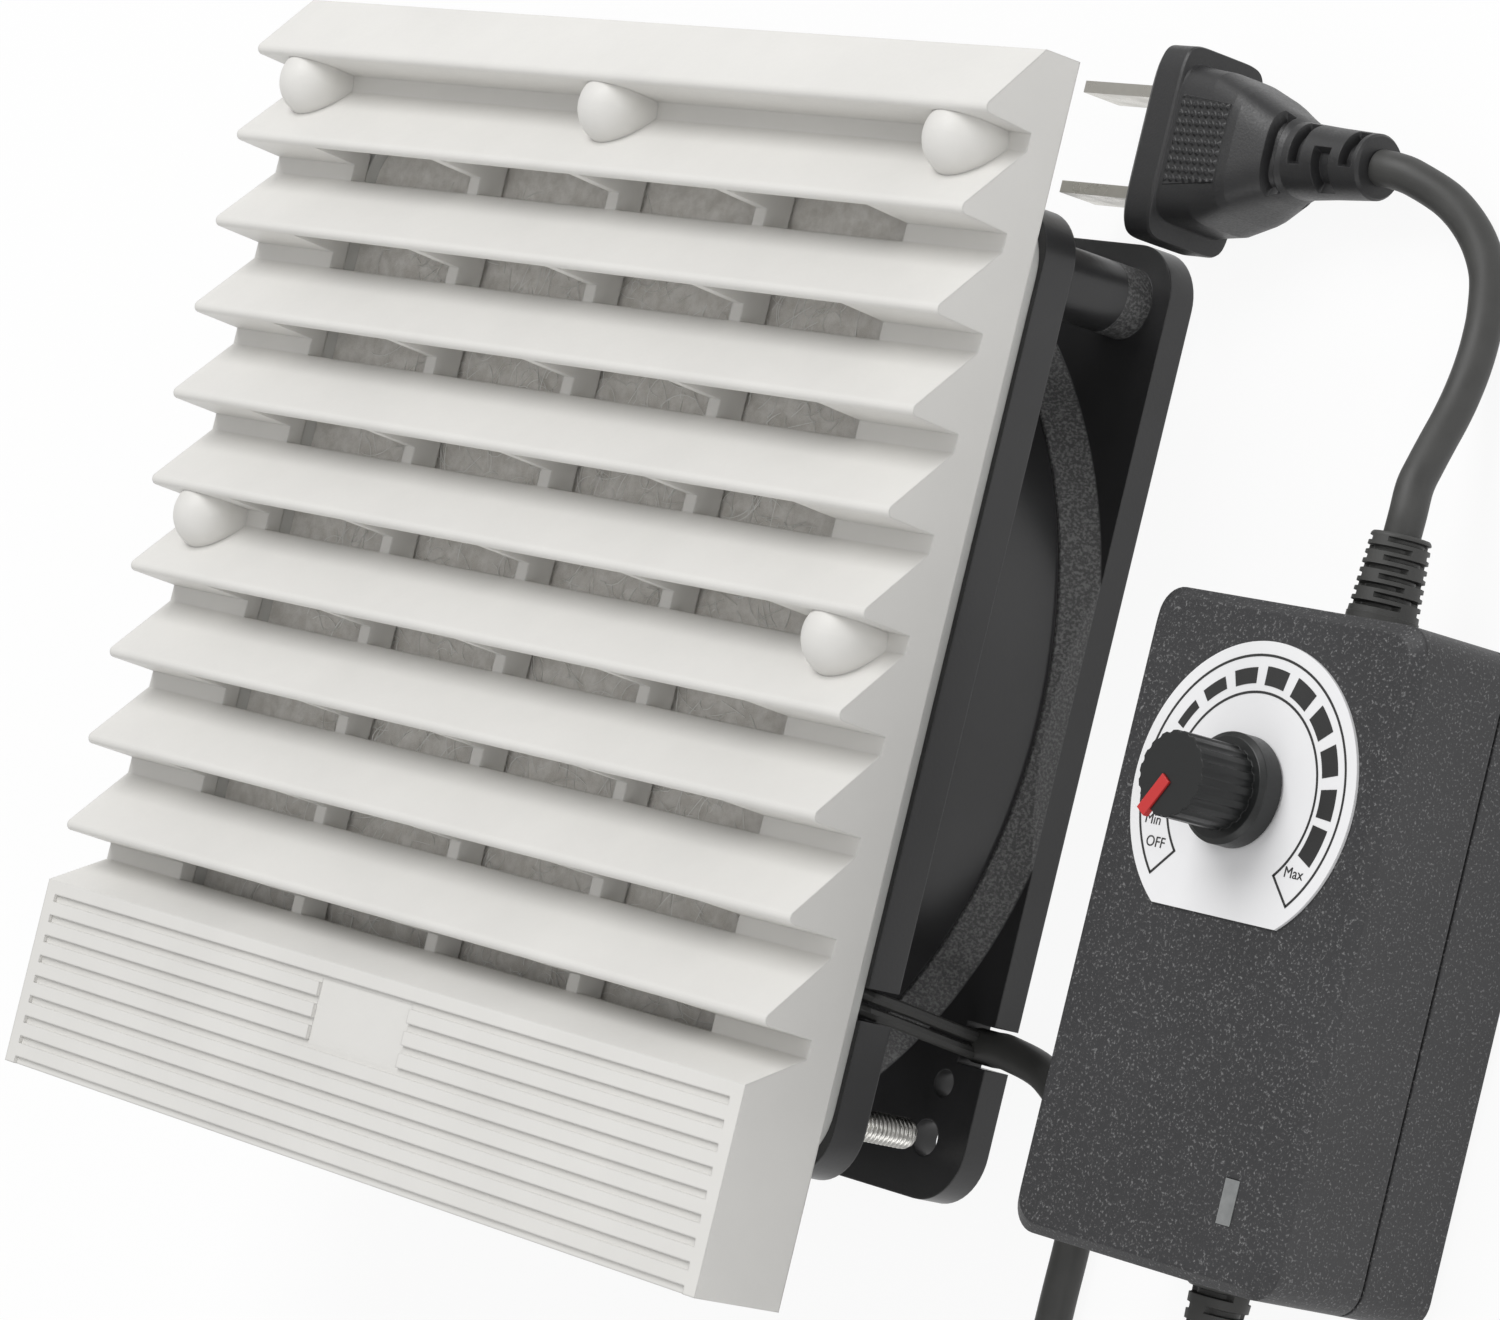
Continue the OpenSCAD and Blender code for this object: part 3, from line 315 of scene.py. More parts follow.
cords = {
    "diameter": 4.4,
    "fanRoute": [(0.056, -0.040, 0.0022), (0.059, -0.040, 0.0022), (0.062, -0.040, 0.0022),
                 (0.0687, -0.0413, 0.0022), (0.0746, -0.0452, 0.0022), (0.0784, -0.051, 0.0022),
                 (0.0798, -0.0578, 0.0022), (0.0798, -0.0665, 0.0022), (0.0798, -0.075, 0.0022),
                 (0.0798, -0.0835, 0.0022), (0.0798, -0.092, 0.0022), (0.0798, -0.1021, 0.0022),
                 (0.0809, -0.1081, 0.0022), (0.0839, -0.1134, 0.0022), (0.0886, -0.1173, 0.0022),
                 (0.0943, -0.1194, 0.0022), (0.1005, -0.1194, 0.0022), (0.1062, -0.1173, 0.0022),
                 (0.1109, -0.1134, 0.0022), (0.1139, -0.1081, 0.0022), (0.115, -0.1021, 0.0022),
                 (0.115, -0.0955, 0.0024), (0.115, -0.090, 0.0033), (0.115, -0.085, 0.0051),
                 (0.115, -0.081, 0.0072), (0.115, -0.077, 0.0095), (0.115, -0.0735, 0.0112),
                 (0.115, -0.071, 0.012), (0.115, -0.069, 0.012)],
    "mainsRoute": [(0.115, 0.0285, 0.012), (0.115, 0.0312, 0.0119), (0.1142, 0.0345, 0.011),
                   (0.1137, 0.0374, 0.0096), (0.1132, 0.0404, 0.008), (0.1127, 0.0433, 0.0064),
                   (0.1122, 0.0463, 0.005), (0.1116, 0.0497, 0.0037), (0.111, 0.0532, 0.0028),
                   (0.1103, 0.0569, 0.0023), (0.109, 0.0613, 0.0022), (0.1063, 0.0654, 0.0027),
                   (0.1026, 0.0687, 0.0041), (0.0981, 0.0707, 0.006), (0.0954, 0.0713, 0.0068),
                   (0.093, 0.0715, 0.007)],
    "perSpan": 8,
    "sides": 24,
}

rubberLook = {
    "color": (0.055, 0.055, 0.053),
    "rough": 0.5,
    "specular": 0.4,
    "bloom": {"Scale": 180, "Detail": 5},
    "skin": {"Scale": 4200, "Detail": 2},
    "tones": (0.88, 1.15),
    "swing": (-0.06, 0.08),
    "depth": 0.012,
}


# Soft cord sheath: a little bloom in patches, and a matt, finely pitted skin
def rubber(name, look):
    made, tree = finish(name, look["color"], look["rough"], specular=look["specular"])
    where = wire(tree, "TexCoord").outputs["Object"]
    bloom = noise(tree, where, look["bloom"])
    dark, light = (tinted(look["color"], tone) for tone in look["tones"])
    feed(tree, "Base Color", blendColors(tree, remap(tree, bloom, *patchSpread, 0, 1), dark, light))
    varyRough(tree, bloom, look["rough"], look["swing"])
    emboss(tree, noise(tree, where, look["skin"]), look["depth"])
    return made


cordSheath = rubber("cordSheath", rubberLook)


# A round tube along the smoothed route, in place of the solid cord. Gives the piece, its path and its length,
# the sum of the path's steps
def layCord(name, node, route, values):
    path = smoothRoute(route, values["perSpan"])
    points, faces = tubeAlong(path / mm, values["diameter"] / 2, values["sides"])
    made = makePiece(name, points, faces, "fan_body", cordSheath, "cord_rubber", sharp=60)
    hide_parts(node)
    length = float(np.linalg.norm(np.diff(path, axis=0), axis=1).sum())
    return made, path.tolist(), length


fanCord, fanPath, fanLength = layCord("fanCord", "fan_cord", cords["fanRoute"], cords)
mainsCord, mainsPath, mainsLength = layCord("mainsCord", "mains_cord", cords["mainsRoute"], cords)
print("cords laid:", round(fanLength, 4), round(mainsLength, 4))

# Floor and light, in metres and watts: a pale sheet that stays near white to the camera, keeps a soft shadow
# and is clear from below

studio = {
    "floorSize": 6.0,
    "floorColor": (0.86, 0.86, 0.86),
    "floorRough": 0.7,
    "floorSpecular": 0.2,
    "floorDrop": 0.0001,
    "lift": 0.92,
    "middle": (0.02, 0.0, 0.03),
    "world": 0.52,
}
lamps = {
    "key": {"from": (-0.15, 0.75, 1.0), "away": 1.5, "size": 0.9, "power": 14.0},
    "side": {"from": (1.0, 0.05, 0.45), "away": 1.6, "size": 1.0, "power": 4.0},
    "low": {"from": (0.35, -1.0, 0.55), "away": 1.6, "size": 0.9, "power": 4.0},
}


# The sheet shows its own shading mixed with a white glow, by the lift, to camera and mirror rays alone
def layFloor(values):
    reach = values["floorSize"] / 2
    mesh = bpy.data.meshes.new("floor")
    corners = [(-reach, -reach, 0), (reach, -reach, 0), (reach, reach, 0), (-reach, reach, 0)]
    mesh.from_pydata(corners, [], [(0, 1, 2, 3)])
    made, tree = finish("floorSheet", values["floorColor"], values["floorRough"],
                        specular=values["floorSpecular"])
    shader = tree.nodes["Principled BSDF"]
    glow = wire(tree, "Emission", {"Color": (1, 1, 1, 1), "Strength": 1.0})
    ray = wire(tree, "LightPath")
    seen = wire(tree, "Math", None, {0: ray.outputs["Is Camera Ray"], 1: ray.outputs["Is Glossy Ray"]},
                operation="ADD", use_clamp=True)
    share = wire(tree, "Math", {1: values["lift"]}, {0: seen.outputs[0]}, operation="MULTIPLY")
    mixed = wire(tree, "MixShader", None, {0: share.outputs[0], 1: shader.outputs[0], 2: glow.outputs[0]})
    below = wire(tree, "NewGeometry").outputs["Backfacing"]
    clear = wire(tree, "BsdfTransparent")
    sided = wire(tree, "MixShader", None, {0: below, 1: mixed.outputs[0], 2: clear.outputs[0]})
    tree.links.new(sided.outputs[0], tree.nodes["Material Output"].inputs["Surface"])
    mesh.materials.append(made)
    holder = bpy.data.objects.new("floor", mesh)
    bpy.context.scene.collection.objects.link(holder)
    holder.location.z = -values["floorDrop"]


# A square lamp at a distance from the middle, along a direction that it shines back down
def hangLamp(name, values, middle):
    way = Vector(values["from"]).normalized()
    data = bpy.data.lights.new(name, "AREA")
    data.energy = values["power"]
    data.size = values["size"]
    holder = bpy.data.objects.new(name, data)
    bpy.context.scene.collection.objects.link(holder)
    holder.location = Vector(middle) + way * values["away"]
    holder.rotation_euler = way.to_track_quat("Z", "Y").to_euler()


# An even dim light all round, and plain white to the camera
def paintWorld(values):
    world = bpy.data.worlds.new("studio")
    world.use_nodes = True
    tree = world.node_tree
    plain = tree.nodes["Background"]
    plain.inputs["Color"].default_value = (1, 1, 1, 1)
    plain.inputs["Strength"].default_value = values["world"]
    white = wire(tree, "Background", {"Color": (1, 1, 1, 1), "Strength": 1.0})
    ray = wire(tree, "LightPath")
    mixed = wire(tree, "MixShader", None, {0: ray.outputs["Is Camera Ray"], 1: plain.outputs[0],
                                           2: white.outputs[0]})
    tree.links.new(mixed.outputs[0], tree.nodes["World Output"].inputs["Surface"])
    bpy.context.scene.world = world


layFloor(studio)
for lampName, lampValues in lamps.items():
    hangLamp(lampName, lampValues, studio["middle"])
paintWorld(studio)
bpy.context.scene.view_settings.view_transform = "Standard"
print("studio lit")

# Finishes of the solids that are shown as they are

coverPlastic = plastic("coverPlastic", (0.70, 0.69, 0.665), rough=0.5, grainSize=0.6, grainDepth=0.012,
                       cloudy=0.03, soften=0.35)
framePlastic = plastic("framePlastic", (0.62, 0.62, 0.60), rough=0.5, grainSize=0.5, grainDepth=0.012,
                       cloudy=0.04, soften=0.25)
gasketFoam = plastic("gasketFoam", (0.02, 0.02, 0.02), rough=0.85, grainSize=0.5, grainDepth=0.2,
                     cloudy=0.2)
impellerPlastic = plastic("impellerPlastic", (0.022, 0.022, 0.022), rough=0.38, grainSize=0.5,
                          grainDepth=0.008, cloudy=0.15, soften=0.25)
boxPlastic = plastic("boxPlastic", (0.028, 0.028, 0.030), rough=0.5, grainSize=0.32, grainDepth=0.05,
                     cloudy=0.12, soften=0.5, speck=0.35)
knobPlastic = plastic("knobPlastic", (0.012, 0.013, 0.013), rough=0.35, grainSize=0.3, grainDepth=0.006,
                      cloudy=0.1, soften=0.2)
dialFilm = plastic("dialFilm", (0.83, 0.83, 0.84), rough=0.4, grainSize=0.2, grainDepth=0.004,
                   cloudy=0.015, soften=0.1)
pointerRed = plastic("pointerRed", (0.55, 0.03, 0.03), rough=0.35, grainSize=0.2, grainDepth=0.004,
                     cloudy=0.06, soften=0.1)
clipNylon = plastic("clipNylon", (0.75, 0.75, 0.70), rough=0.4, grainSize=0.3, grainDepth=0.006)
magnetBlack = plastic("magnetBlack", (0.02, 0.019, 0.018), rough=0.7, grainSize=0.25, grainDepth=0.05,
                      cloudy=0.2)
boardLacquer = plastic("boardLacquer", (0.01, 0.13, 0.05), rough=0.3, grainSize=0.3, grainDepth=0.004,
                       cloudy=0.2)
brightSteel = steel("brightSteel", (0.66, 0.65, 0.62), rough=0.26)
shaftSteel = steel("shaftSteel", (0.58, 0.58, 0.58), rough=0.2)
yokeSteel = steel("yokeSteel", (0.28, 0.28, 0.29), rough=0.42, stretch=(1, 1, 1), stains=0.3)
coreSteel = steel("coreSteel", (0.38, 0.38, 0.40), rough=0.4, stretch=(1, 1, 40), size=0.35, depth=0.05)
bladeBrass = steel("bladeBrass", (0.62, 0.60, 0.55), rough=0.25, stretch=(1, 12, 12))


windingLook = {
    "color": (0.5, 0.17, 0.06),
    "rough": 0.3,
    "metal": 0.8,
    "turns": {"Scale": 900, "Distortion": 0.6, "Detail": 1},
    # the first colour is painted shade in the grooves between the turns
    "colors": ((0.22, 0.06, 0.02), (0.62, 0.24, 0.09)),
    "depth": 0.12,
}


# Enamelled winding: fine waves across the coil stand for its turns, with painted shade darkening the grooves
# between them
def copperWire(name, look):
    made, tree = finish(name, look["color"], look["rough"], metal=look["metal"])
    where = wire(tree, "TexCoord").outputs["Object"]
    turns = wire(tree, "TexWave", look["turns"], {"Vector": where}, wave_type="BANDS",
                 bands_direction="Z").outputs["Fac"]
    # painted shade: the colour goes dark in the grooves between the turns
    feed(tree, "Base Color", blendColors(tree, turns, *look["colors"]))
    emboss(tree, turns, look["depth"])
    return made


windowLook = {
    "color": (0.32, 0.33, 0.33),
    "rough": 0.25,
    "specular": 0.6,
    "clear": 0.35,
    "haze": {"Scale": 900, "Detail": 3},
    "colors": ((0.24, 0.25, 0.25), (0.40, 0.41, 0.41)),
}


# The lamp's window: smoky clear plastic that lets a little light through
def clearPlastic(name, look):
    made, tree = finish(name, look["color"], look["rough"], specular=look["specular"])
    tree.nodes["Principled BSDF"].inputs["Transmission Weight"].default_value = look["clear"]
    where = wire(tree, "TexCoord").outputs["Object"]
    feed(tree, "Base Color", blendColors(tree, noise(tree, where, look["haze"]), *look["colors"]))
    return made


fanLook = {
    "color": (0.030, 0.030, 0.031),
    "rough": 0.4,
    "cloud": {"Scale": 60, "Detail": 5},
    "tones": (0.85, 1.2),
    "fine": {"Scale": 1800, "Detail": 2},
    "fineShare": 0.12,
    "bandLow": 4,
    "bandHigh": 8.2,
    "bandRadius": 59.3,
    "bandEdge": 0.15,
    "sand": {"Scale": 2600, "Detail": 3, "Roughness": 0.6},
    "sandSpread": (0.45, 0.62),
    # the sand's lighter grey is painted glints on the black plastic
    "sandGlintColors": ((0.06, 0.06, 0.06), (0.17, 0.17, 0.17)),
    "roughs": (0.33, 0.44),
    "depth": 0.13,
    "soften": 0.3,
}


# The fan's black frame: smooth satin with a sand-textured band on the flare of the barrel, whose lighter grey
# sand flecks are painted glints of the textured surface. The band's mask is 1 between its two heights and
# outside its radius, and the relief is a faint fine grain plus sand times mask
def fanPlastic(name, look):
    made, tree = finish(name, look["color"], look["rough"])
    where = wire(tree, "TexCoord").outputs["Object"]
    axes = wire(tree, "SeparateXYZ", None, {0: where}).outputs
    flat = wire(tree, "CombineXYZ", None, {0: axes[0], 1: axes[1]}).outputs[0]
    reach = wire(tree, "VectorMath", None, {0: flat}, operation="LENGTH").outputs["Value"]
    edge = look["bandEdge"] * mm
    above = remap(tree, axes[2], look["bandLow"] * mm, look["bandLow"] * mm + edge, 0, 1)
    below = remap(tree, axes[2], look["bandHigh"] * mm - edge, look["bandHigh"] * mm, 1, 0)
    beyond = remap(tree, reach, look["bandRadius"] * mm - edge, look["bandRadius"] * mm, 0, 1)
    within = wire(tree, "Math", None, {0: above, 1: below}, operation="MULTIPLY").outputs[0]
    mask = wire(tree, "Math", None, {0: within, 1: beyond}, operation="MULTIPLY").outputs[0]
    sand = noise(tree, where, look["sand"])
    dark, light = (tinted(look["color"], tone) for tone in look["tones"])
    cloud = remap(tree, noise(tree, where, look["cloud"]), *noiseSpread, 0, 1)
    plain = blendColors(tree, cloud, dark, light)
    # painted glints: the band's sand flecks are lighter grey than the black plastic
    sandGlints = blendColors(tree, remap(tree, sand, *look["sandSpread"], 0, 1), *look["sandGlintColors"])
    feed(tree, "Base Color", blendColors(tree, mask, plain, sandGlints))
    feed(tree, "Roughness", remap(tree, mask, 0, 1, *look["roughs"]))
    fine = noise(tree, where, look["fine"])
    low = wire(tree, "Math", {1: look["fineShare"]}, {0: fine}, operation="MULTIPLY").outputs[0]
    high = wire(tree, "Math", None, {0: sand, 1: mask}, operation="MULTIPLY").outputs[0]
    both = wire(tree, "Math", None, {0: low, 1: high}, operation="ADD").outputs[0]
    emboss(tree, both, look["depth"], look["soften"])
    return made


fanBlack = fanPlastic("fanBlack", fanLook)
nodeFinishes = {
    "louvre_cover": coverPlastic, "base_frame": framePlastic, "panel_gasket": gasketFoam,
    "fan_frame": fanBlack, "impeller": impellerPlastic, "motor_shaft": shaftSteel,
    "rotor_yoke": yokeSteel, "rotor_magnet": magnetBlack, "stator_core": coreSteel,
    "stator_coils": copperWire("copperWire", windingLook), "motor_board": boardLacquer,
    "front_bearing": brightSteel, "rear_bearing": brightSteel, "preload_spring": shaftSteel,
    "shaft_clip": clipNylon, "screw_nuts": brightSteel, "fan_screws": brightSteel,
    "controller_base": boxPlastic, "controller_lid": boxPlastic, "dial_plate": dialFilm,
    "speed_knob": knobPlastic, "knob_pointer": pointerRed, "control_spindle": shaftSteel,
    "speed_control": coreSteel, "controller_board": boardLacquer,
    "lamp_window": clearPlastic("clearPlastic", windowLook), "plug_blades": bladeBrass,
    "plug_body": knobPlastic, "outlet_relief": cordSheath, "inlet_relief": cordSheath,
    "fan_leads": cordSheath, "filter_mat": framePlastic,
}
for nodeName, nodeFinish in nodeFinishes.items():
    mesh = nodes[nodeName].data
    mesh.materials.clear()
    mesh.materials.append(nodeFinish)
print("solids finished")

# Dial: two ring lines with their end lines, growing blocks, and plain words for its ends

dial = {
    "middle": (115, -4.2),
    "top": 27.4,
    "print": 0.05,
    "outerRing": 15.6,
    "innerRing": 11.4,
    "line": 0.28,
    "ringSteps": 90,
    "start": 224.5,
    "end": -46.5,
    "blocks": 11,
    "firstBlock": 187,
    "blockPitch": 20.5,
    "blockSpan": 14.3,
    "endSpan": 18,
    "blockMiddle": 13.3,
    "blockSteps": 12,
    "thinnest": 0.5,
    "thicker": 0.33,
    "thickest": 2.35,
    "words": {"Min": (-12.6, -5.0), "OFF": (-11.4, -7.5), "Max": (10.8, -7.6)},
    "wordHeight": 1.75,
}


# The outline of a flat band: along its outer arc and back along its inner one
def arcBand(inner, outer, fromAngle, toAngle, steps):
    turn = np.radians(np.linspace(fromAngle, toAngle, steps))
    out = np.c_[outer * np.cos(turn), outer * np.sin(turn)]
    back = np.c_[inner * np.cos(turn), inner * np.sin(turn)][::-1]
    return np.vstack([out, back])


# A curved band as a thin solid: its outline pairs the two arcs, so both faces are rows of squares
def bandSlab(outline, low, high):
    count = len(outline) // 2
    pairs = np.stack([outline[:count], outline[::-1][:count]], 1)
    section = np.stack([np.c_[pairs[:, 0], np.full(count, low)], np.c_[pairs[:, 0], np.full(count, high)],
                        np.c_[pairs[:, 1], np.full(count, high)], np.c_[pairs[:, 1], np.full(count, low)]], 1)
    faces = gridQuads(count, 4, loopColumns=True)[:, ::-1].tolist()
    return section.reshape(-1, 3), faces + [[3, 2, 1, 0], list(range(4 * count - 4, 4 * count))]


# Two ring lines, a straight line at each of their ends, and blocks at even angles whose width grows by a
# fixed step up to the thickest
def printDial(values, ink):
    low, high = values["top"], values["top"] + values["print"]
    half = values["line"] / 2
    parts = []
    for radius in (values["outerRing"], values["innerRing"]):
        outline = arcBand(radius - half, radius + half, values["start"], values["end"], values["ringSteps"])
        parts.append(bandSlab(outline, low, high))
    for angle in (values["start"], values["end"]):
        way = np.array([math.cos(math.radians(angle)), math.sin(math.radians(angle))])
        across = np.array([-way[1], way[0]]) * half
        ends = [way * (values["innerRing"] - half), way * (values["outerRing"] + half)]
        outline = [ends[0] - across, ends[1] - across, ends[1] + across, ends[0] + across]
        parts.append(slab(outline, low, high))
    for block in range(values["blocks"]):
        width = min(values["thinnest"] + values["thicker"] * block, values["thickest"])
        span = values["endSpan"] if block in (0, values["blocks"] - 1) else values["blockSpan"]
        at = values["firstBlock"] - values["blockPitch"] * block
        outline = arcBand(values["blockMiddle"] - width / 2, values["blockMiddle"] + width / 2,
                          at + span / 2, at - span / 2, values["blockSteps"])
        parts.append(bandSlab(outline, low, high))
    points, faces = joined(parts)
    points[:, :2] += values["middle"]
    makePiece("dialMarks", points, faces, "fan_body", ink, "box_black")


# A word as a thin solid, its letters' mesh moved to its place on the dial
def printWord(word, place, values, ink):
    data = bpy.data.curves.new("word" + word, "FONT")
    data.body = word
    data.size = values["wordHeight"]
    data.align_x = "CENTER"
    data.align_y = "CENTER"
    data.extrude = values["print"] / 2
    rough = bpy.data.objects.new("word" + word, data)
    bpy.context.scene.collection.objects.link(rough)
    bpy.context.view_layer.update()
    shape = bpy.data.meshes.new_from_object(rough.evaluated_get(bpy.context.evaluated_depsgraph_get()))
    bpy.data.objects.remove(rough)
    count = len(shape.vertices)
    points = np.empty(count * 3)
    shape.vertices.foreach_get("co", points)
    points = points.reshape(-1, 3) + (values["middle"][0] + place[0], values["middle"][1] + place[1],
                                      values["top"] + values["print"] / 2)
    faces = [list(face.vertices) for face in shape.polygons]
    bpy.data.meshes.remove(shape)
    makePiece("dialWord" + word, points, faces, "fan_body", ink, "box_black")


printInk = plastic("printInk", (0.022, 0.022, 0.022), rough=0.5, grainSize=0.2, grainDepth=0.003,
                   cloudy=0.1)
printDial(dial, printInk)
for dialWord, wordPlace in dial["words"].items():
    printWord(dialWord, wordPlace, dial, printInk)
print("dial printed")

# Strain reliefs: ribs round the cord with slots between them that open by turns at the sides and the faces

relief = {
    "x": 115,
    "z": 12,
    "outlet": {"y": -58, "way": -1, "length": 11, "root": 3.7, "end": 3.15, "core": 2.7, "collar": 4.5,
               "collarLength": 1.1, "firstSlot": 1.5, "pitch": 1.9, "slots": 5, "slot": 0.7},
    "inlet": {"y": 17.5, "way": 1, "length": 11, "root": 4.2, "end": 3.5, "core": 2.8, "collar": 4.2,
              "collarLength": 1.6, "firstSlot": 2.6, "pitch": 1.08, "slots": 8, "slot": 0.5},
    "rings": 220,
    "sides": 72,
    "web": 0.35,
    "slotEdge": 0.12,
    "rim": 0.4,
    "rimShare": 0.06,
}


# A tapering tube of radius r(height, angle): the taper, or at the root a collar that falls to it by a
# square, less a slot wherever the height is inside one of the evenly spaced slots and the angle is away
# from its two webs, which turn a quarter each time. The last edge is drawn in by a square too
def reliefShape(values, kind):
    own = values[kind]
    height = np.linspace(0, own["length"], values["rings"])[:, None]
    turn = fullTurn(values["sides"])[None, :]
    taper = own["root"] + (own["end"] - own["root"]) * height / own["length"]
    share = np.clip(height / own["collarLength"], 0, 1)
    collar = np.maximum(taper, own["collar"] - (own["collar"] - own["root"]) * share ** 2)
    outer = np.where(height < own["collarLength"], collar, taper)
    outer = np.broadcast_to(outer, (values["rings"], values["sides"])).copy()
    for slot in range(own["slots"]):
        middle = own["firstSlot"] + own["pitch"] * slot
        inside = np.clip((own["slot"] / 2 - np.abs(height - middle)) / values["slotEdge"] + 0.5, 0, 1)
        web = np.abs(np.cos(turn) if slot % 2 else np.sin(turn))
        opened = np.clip((web - values["web"]) / values["slotEdge"], 0, 1)
        outer = np.minimum(outer, outer - (outer - own["core"]) * inside * opened)
    rim = np.clip((own["length"] - height) / values["rim"], 0, 1)
    outer = outer * (1 - values["rimShare"] * (1 - rim) ** 2)
    ring = np.stack([values["x"] + outer * np.cos(turn),
                     np.broadcast_to(own["y"] + own["way"] * height, outer.shape),
                     values["z"] + outer * np.sin(turn)], -1)
    faces = gridQuads(values["rings"], values["sides"], loopColumns=True)
    if own["way"] < 0:
        faces = faces[:, ::-1]
    first = list(range(values["sides"]))
    last = [corner + (values["rings"] - 1) * values["sides"] for corner in first]
    ends = [first[::-1], last] if own["way"] < 0 else [first, last[::-1]]
    return ring.reshape(-1, 3), faces.tolist() + ends


for kind, reliefNode in (("outlet", "outlet_relief"), ("inlet", "inlet_relief")):
    reliefPiece = makePiece(kind + "Relief", *reliefShape(relief, kind), "fan_body", cordSheath,
                            "cord_rubber", sharp=35)
    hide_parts(reliefNode)
print("strain reliefs made")

# Filter mat: a felted pad with loose curling fibres on the face that shows, which is hollowed unevenly

mat = {
    "corner": 6,
    "grid": 170,
    "hollow": 0.4,
    "waves": 26,
    "waveLength": (2.0, 14.0),
    "hollowShares": (0.3, 0.7),
    "edgeRows": 4,
    "fibres": 1700,
    "fibreLength": (3.0, 8.0),
    "fibreRadius": 0.06,
    "fibrePoints": 7,
    "fibreSides": 3,
    "curl": 1.6,
    "margin": 9,
    "edgeMargin": 1,
    "sinkShare": 0.75,
    "lift": 0.35,
    "liftShares": (0.3, 0.9),
    "seed": 11,
    "fill": 0.7,
}


feltLook = {
    "color": (0.5, 0.49, 0.47),
    "rough": 0.9,
    "specular": 0.15,
    "patches": {"Scale": 420, "Detail": 5, "Roughness": 0.65},
    "patchRange": (0.36, 0.66),
    "ground": ((0.62, 0.595, 0.555), (0.82, 0.80, 0.77)),
    "warp": {"Scale": 900, "Detail": 2},
    "threads": {"Scale": 260, "Distortion": 14, "Detail": 3, "Detail Scale": 2.2},
    "threadRange": (0.6, 0.95),
    "threadShare": 0.45,
    "threadColor": (0.90, 0.90, 0.89),
    "depth": 0.12,
}


# Felted fibre: streaks of light threads running all ways over a soft brownish mottling
def feltFinish(name, look):
    made, tree = finish(name, look["color"], look["rough"], specular=look["specular"])
    where = wire(tree, "TexCoord").outputs["Object"]
    patches = noise(tree, where, look["patches"])
    warped = wire(tree, "TexNoise", look["warp"], {"Vector": where}).outputs["Color"]
    threads = wire(tree, "TexWave", look["threads"], {"Vector": warped}).outputs["Fac"]
    ground = blendColors(tree, remap(tree, patches, *look["patchRange"], 0, 1), *look["ground"])
    streak = remap(tree, threads, *look["threadRange"], 0, look["threadShare"])
    feed(tree, "Base Color", blendColors(tree, streak, ground, look["threadColor"]))
    emboss(tree, patches, look["depth"])
    return made


# A height from 0 to 1 for a random felt: a half, plus half the sum of sine waves of random heading,
# length and phase over the root of their number
def sumOfWaves(x, y, count, seed, shortest, longest):
    chance = np.random.default_rng(seed)
    total = np.zeros_like(x)
    for _ in range(count):
        heading, phase = chance.uniform(0, 2 * np.pi, 2)
        length = chance.uniform(shortest, longest)
        total += np.sin(2 * np.pi * (x * np.cos(heading) + y * np.sin(heading)) / length + phase)
    return np.clip(0.5 + 0.5 * total / math.sqrt(count), 0, 1)


# A square pad with rounded corners: in each corner square the distances u and v from its inner corner,
# from 0 to 1, become u times the root of 1 less half v squared, and the other way round. Its top is
# lowered by a share of the hollow that is largest where the waves are low, and least at its edges
def matPad(values, low, high):
    count, corner = values["grid"], values["corner"]
    half = (high[:2] - low[:2]) / 2
    middle = (high[:2] + low[:2]) / 2
    across, up = np.meshgrid(np.linspace(-1, 1, count), np.linspace(-1, 1, count), indexing="ij")
    flat = np.stack([across * half[0], up * half[1]], -1)
    straight = half - corner
    over = np.clip((np.abs(flat) - straight) / corner, 0, 1)
    bent = over * np.sqrt(1 - over[..., ::-1] ** 2 / 2)
    flat = np.sign(flat) * (np.minimum(np.abs(flat), straight) + corner * bent) + middle
    rise = sumOfWaves(flat[..., 0], flat[..., 1], values["waves"], values["seed"], *values["waveLength"])
    edge = np.clip((1 - np.maximum(np.abs(across), np.abs(up))) * count / (2 * values["edgeRows"]), 0, 1)
    least, most = values["hollowShares"]
    top = high[2] - values["hollow"] * (least + most * (1 - rise) * edge)
    upper = np.concatenate([flat, top[..., None]], -1)
    lower = np.concatenate([flat, np.full_like(top, low[2])[..., None]], -1)
    return padOf(upper, lower)


# Curling threads that lie on the pad: each heads a random way and turns steadily along its length, and
# its middle stands up by a half sine
def looseFibres(values, low, high):
    chance = np.random.default_rng(values["seed"] + 1)
    parts = []
    share = np.linspace(0, 1, values["fibrePoints"])
    for _ in range(values["fibres"]):
        length = chance.uniform(*values["fibreLength"])
        heading = chance.uniform(0, 2 * np.pi) + chance.normal(0, values["curl"]) * share
        step = length / (values["fibrePoints"] - 1)
        place = np.cumsum(np.c_[np.cos(heading), np.sin(heading)], 0) * step
        place += chance.uniform(low[:2] + values["margin"], high[:2] - values["margin"])
        inside = np.clip(place, low[:2] + values["edgeMargin"], high[:2] - values["edgeMargin"])
        lift = values["lift"] * chance.uniform(*values["liftShares"])
        rise = high[2] - values["hollow"] * values["sinkShare"] + lift * np.sin(np.pi * share)
        parts.append(tubeAlong(np.c_[inside, rise], values["fibreRadius"], values["fibreSides"]))
    return joined(parts)


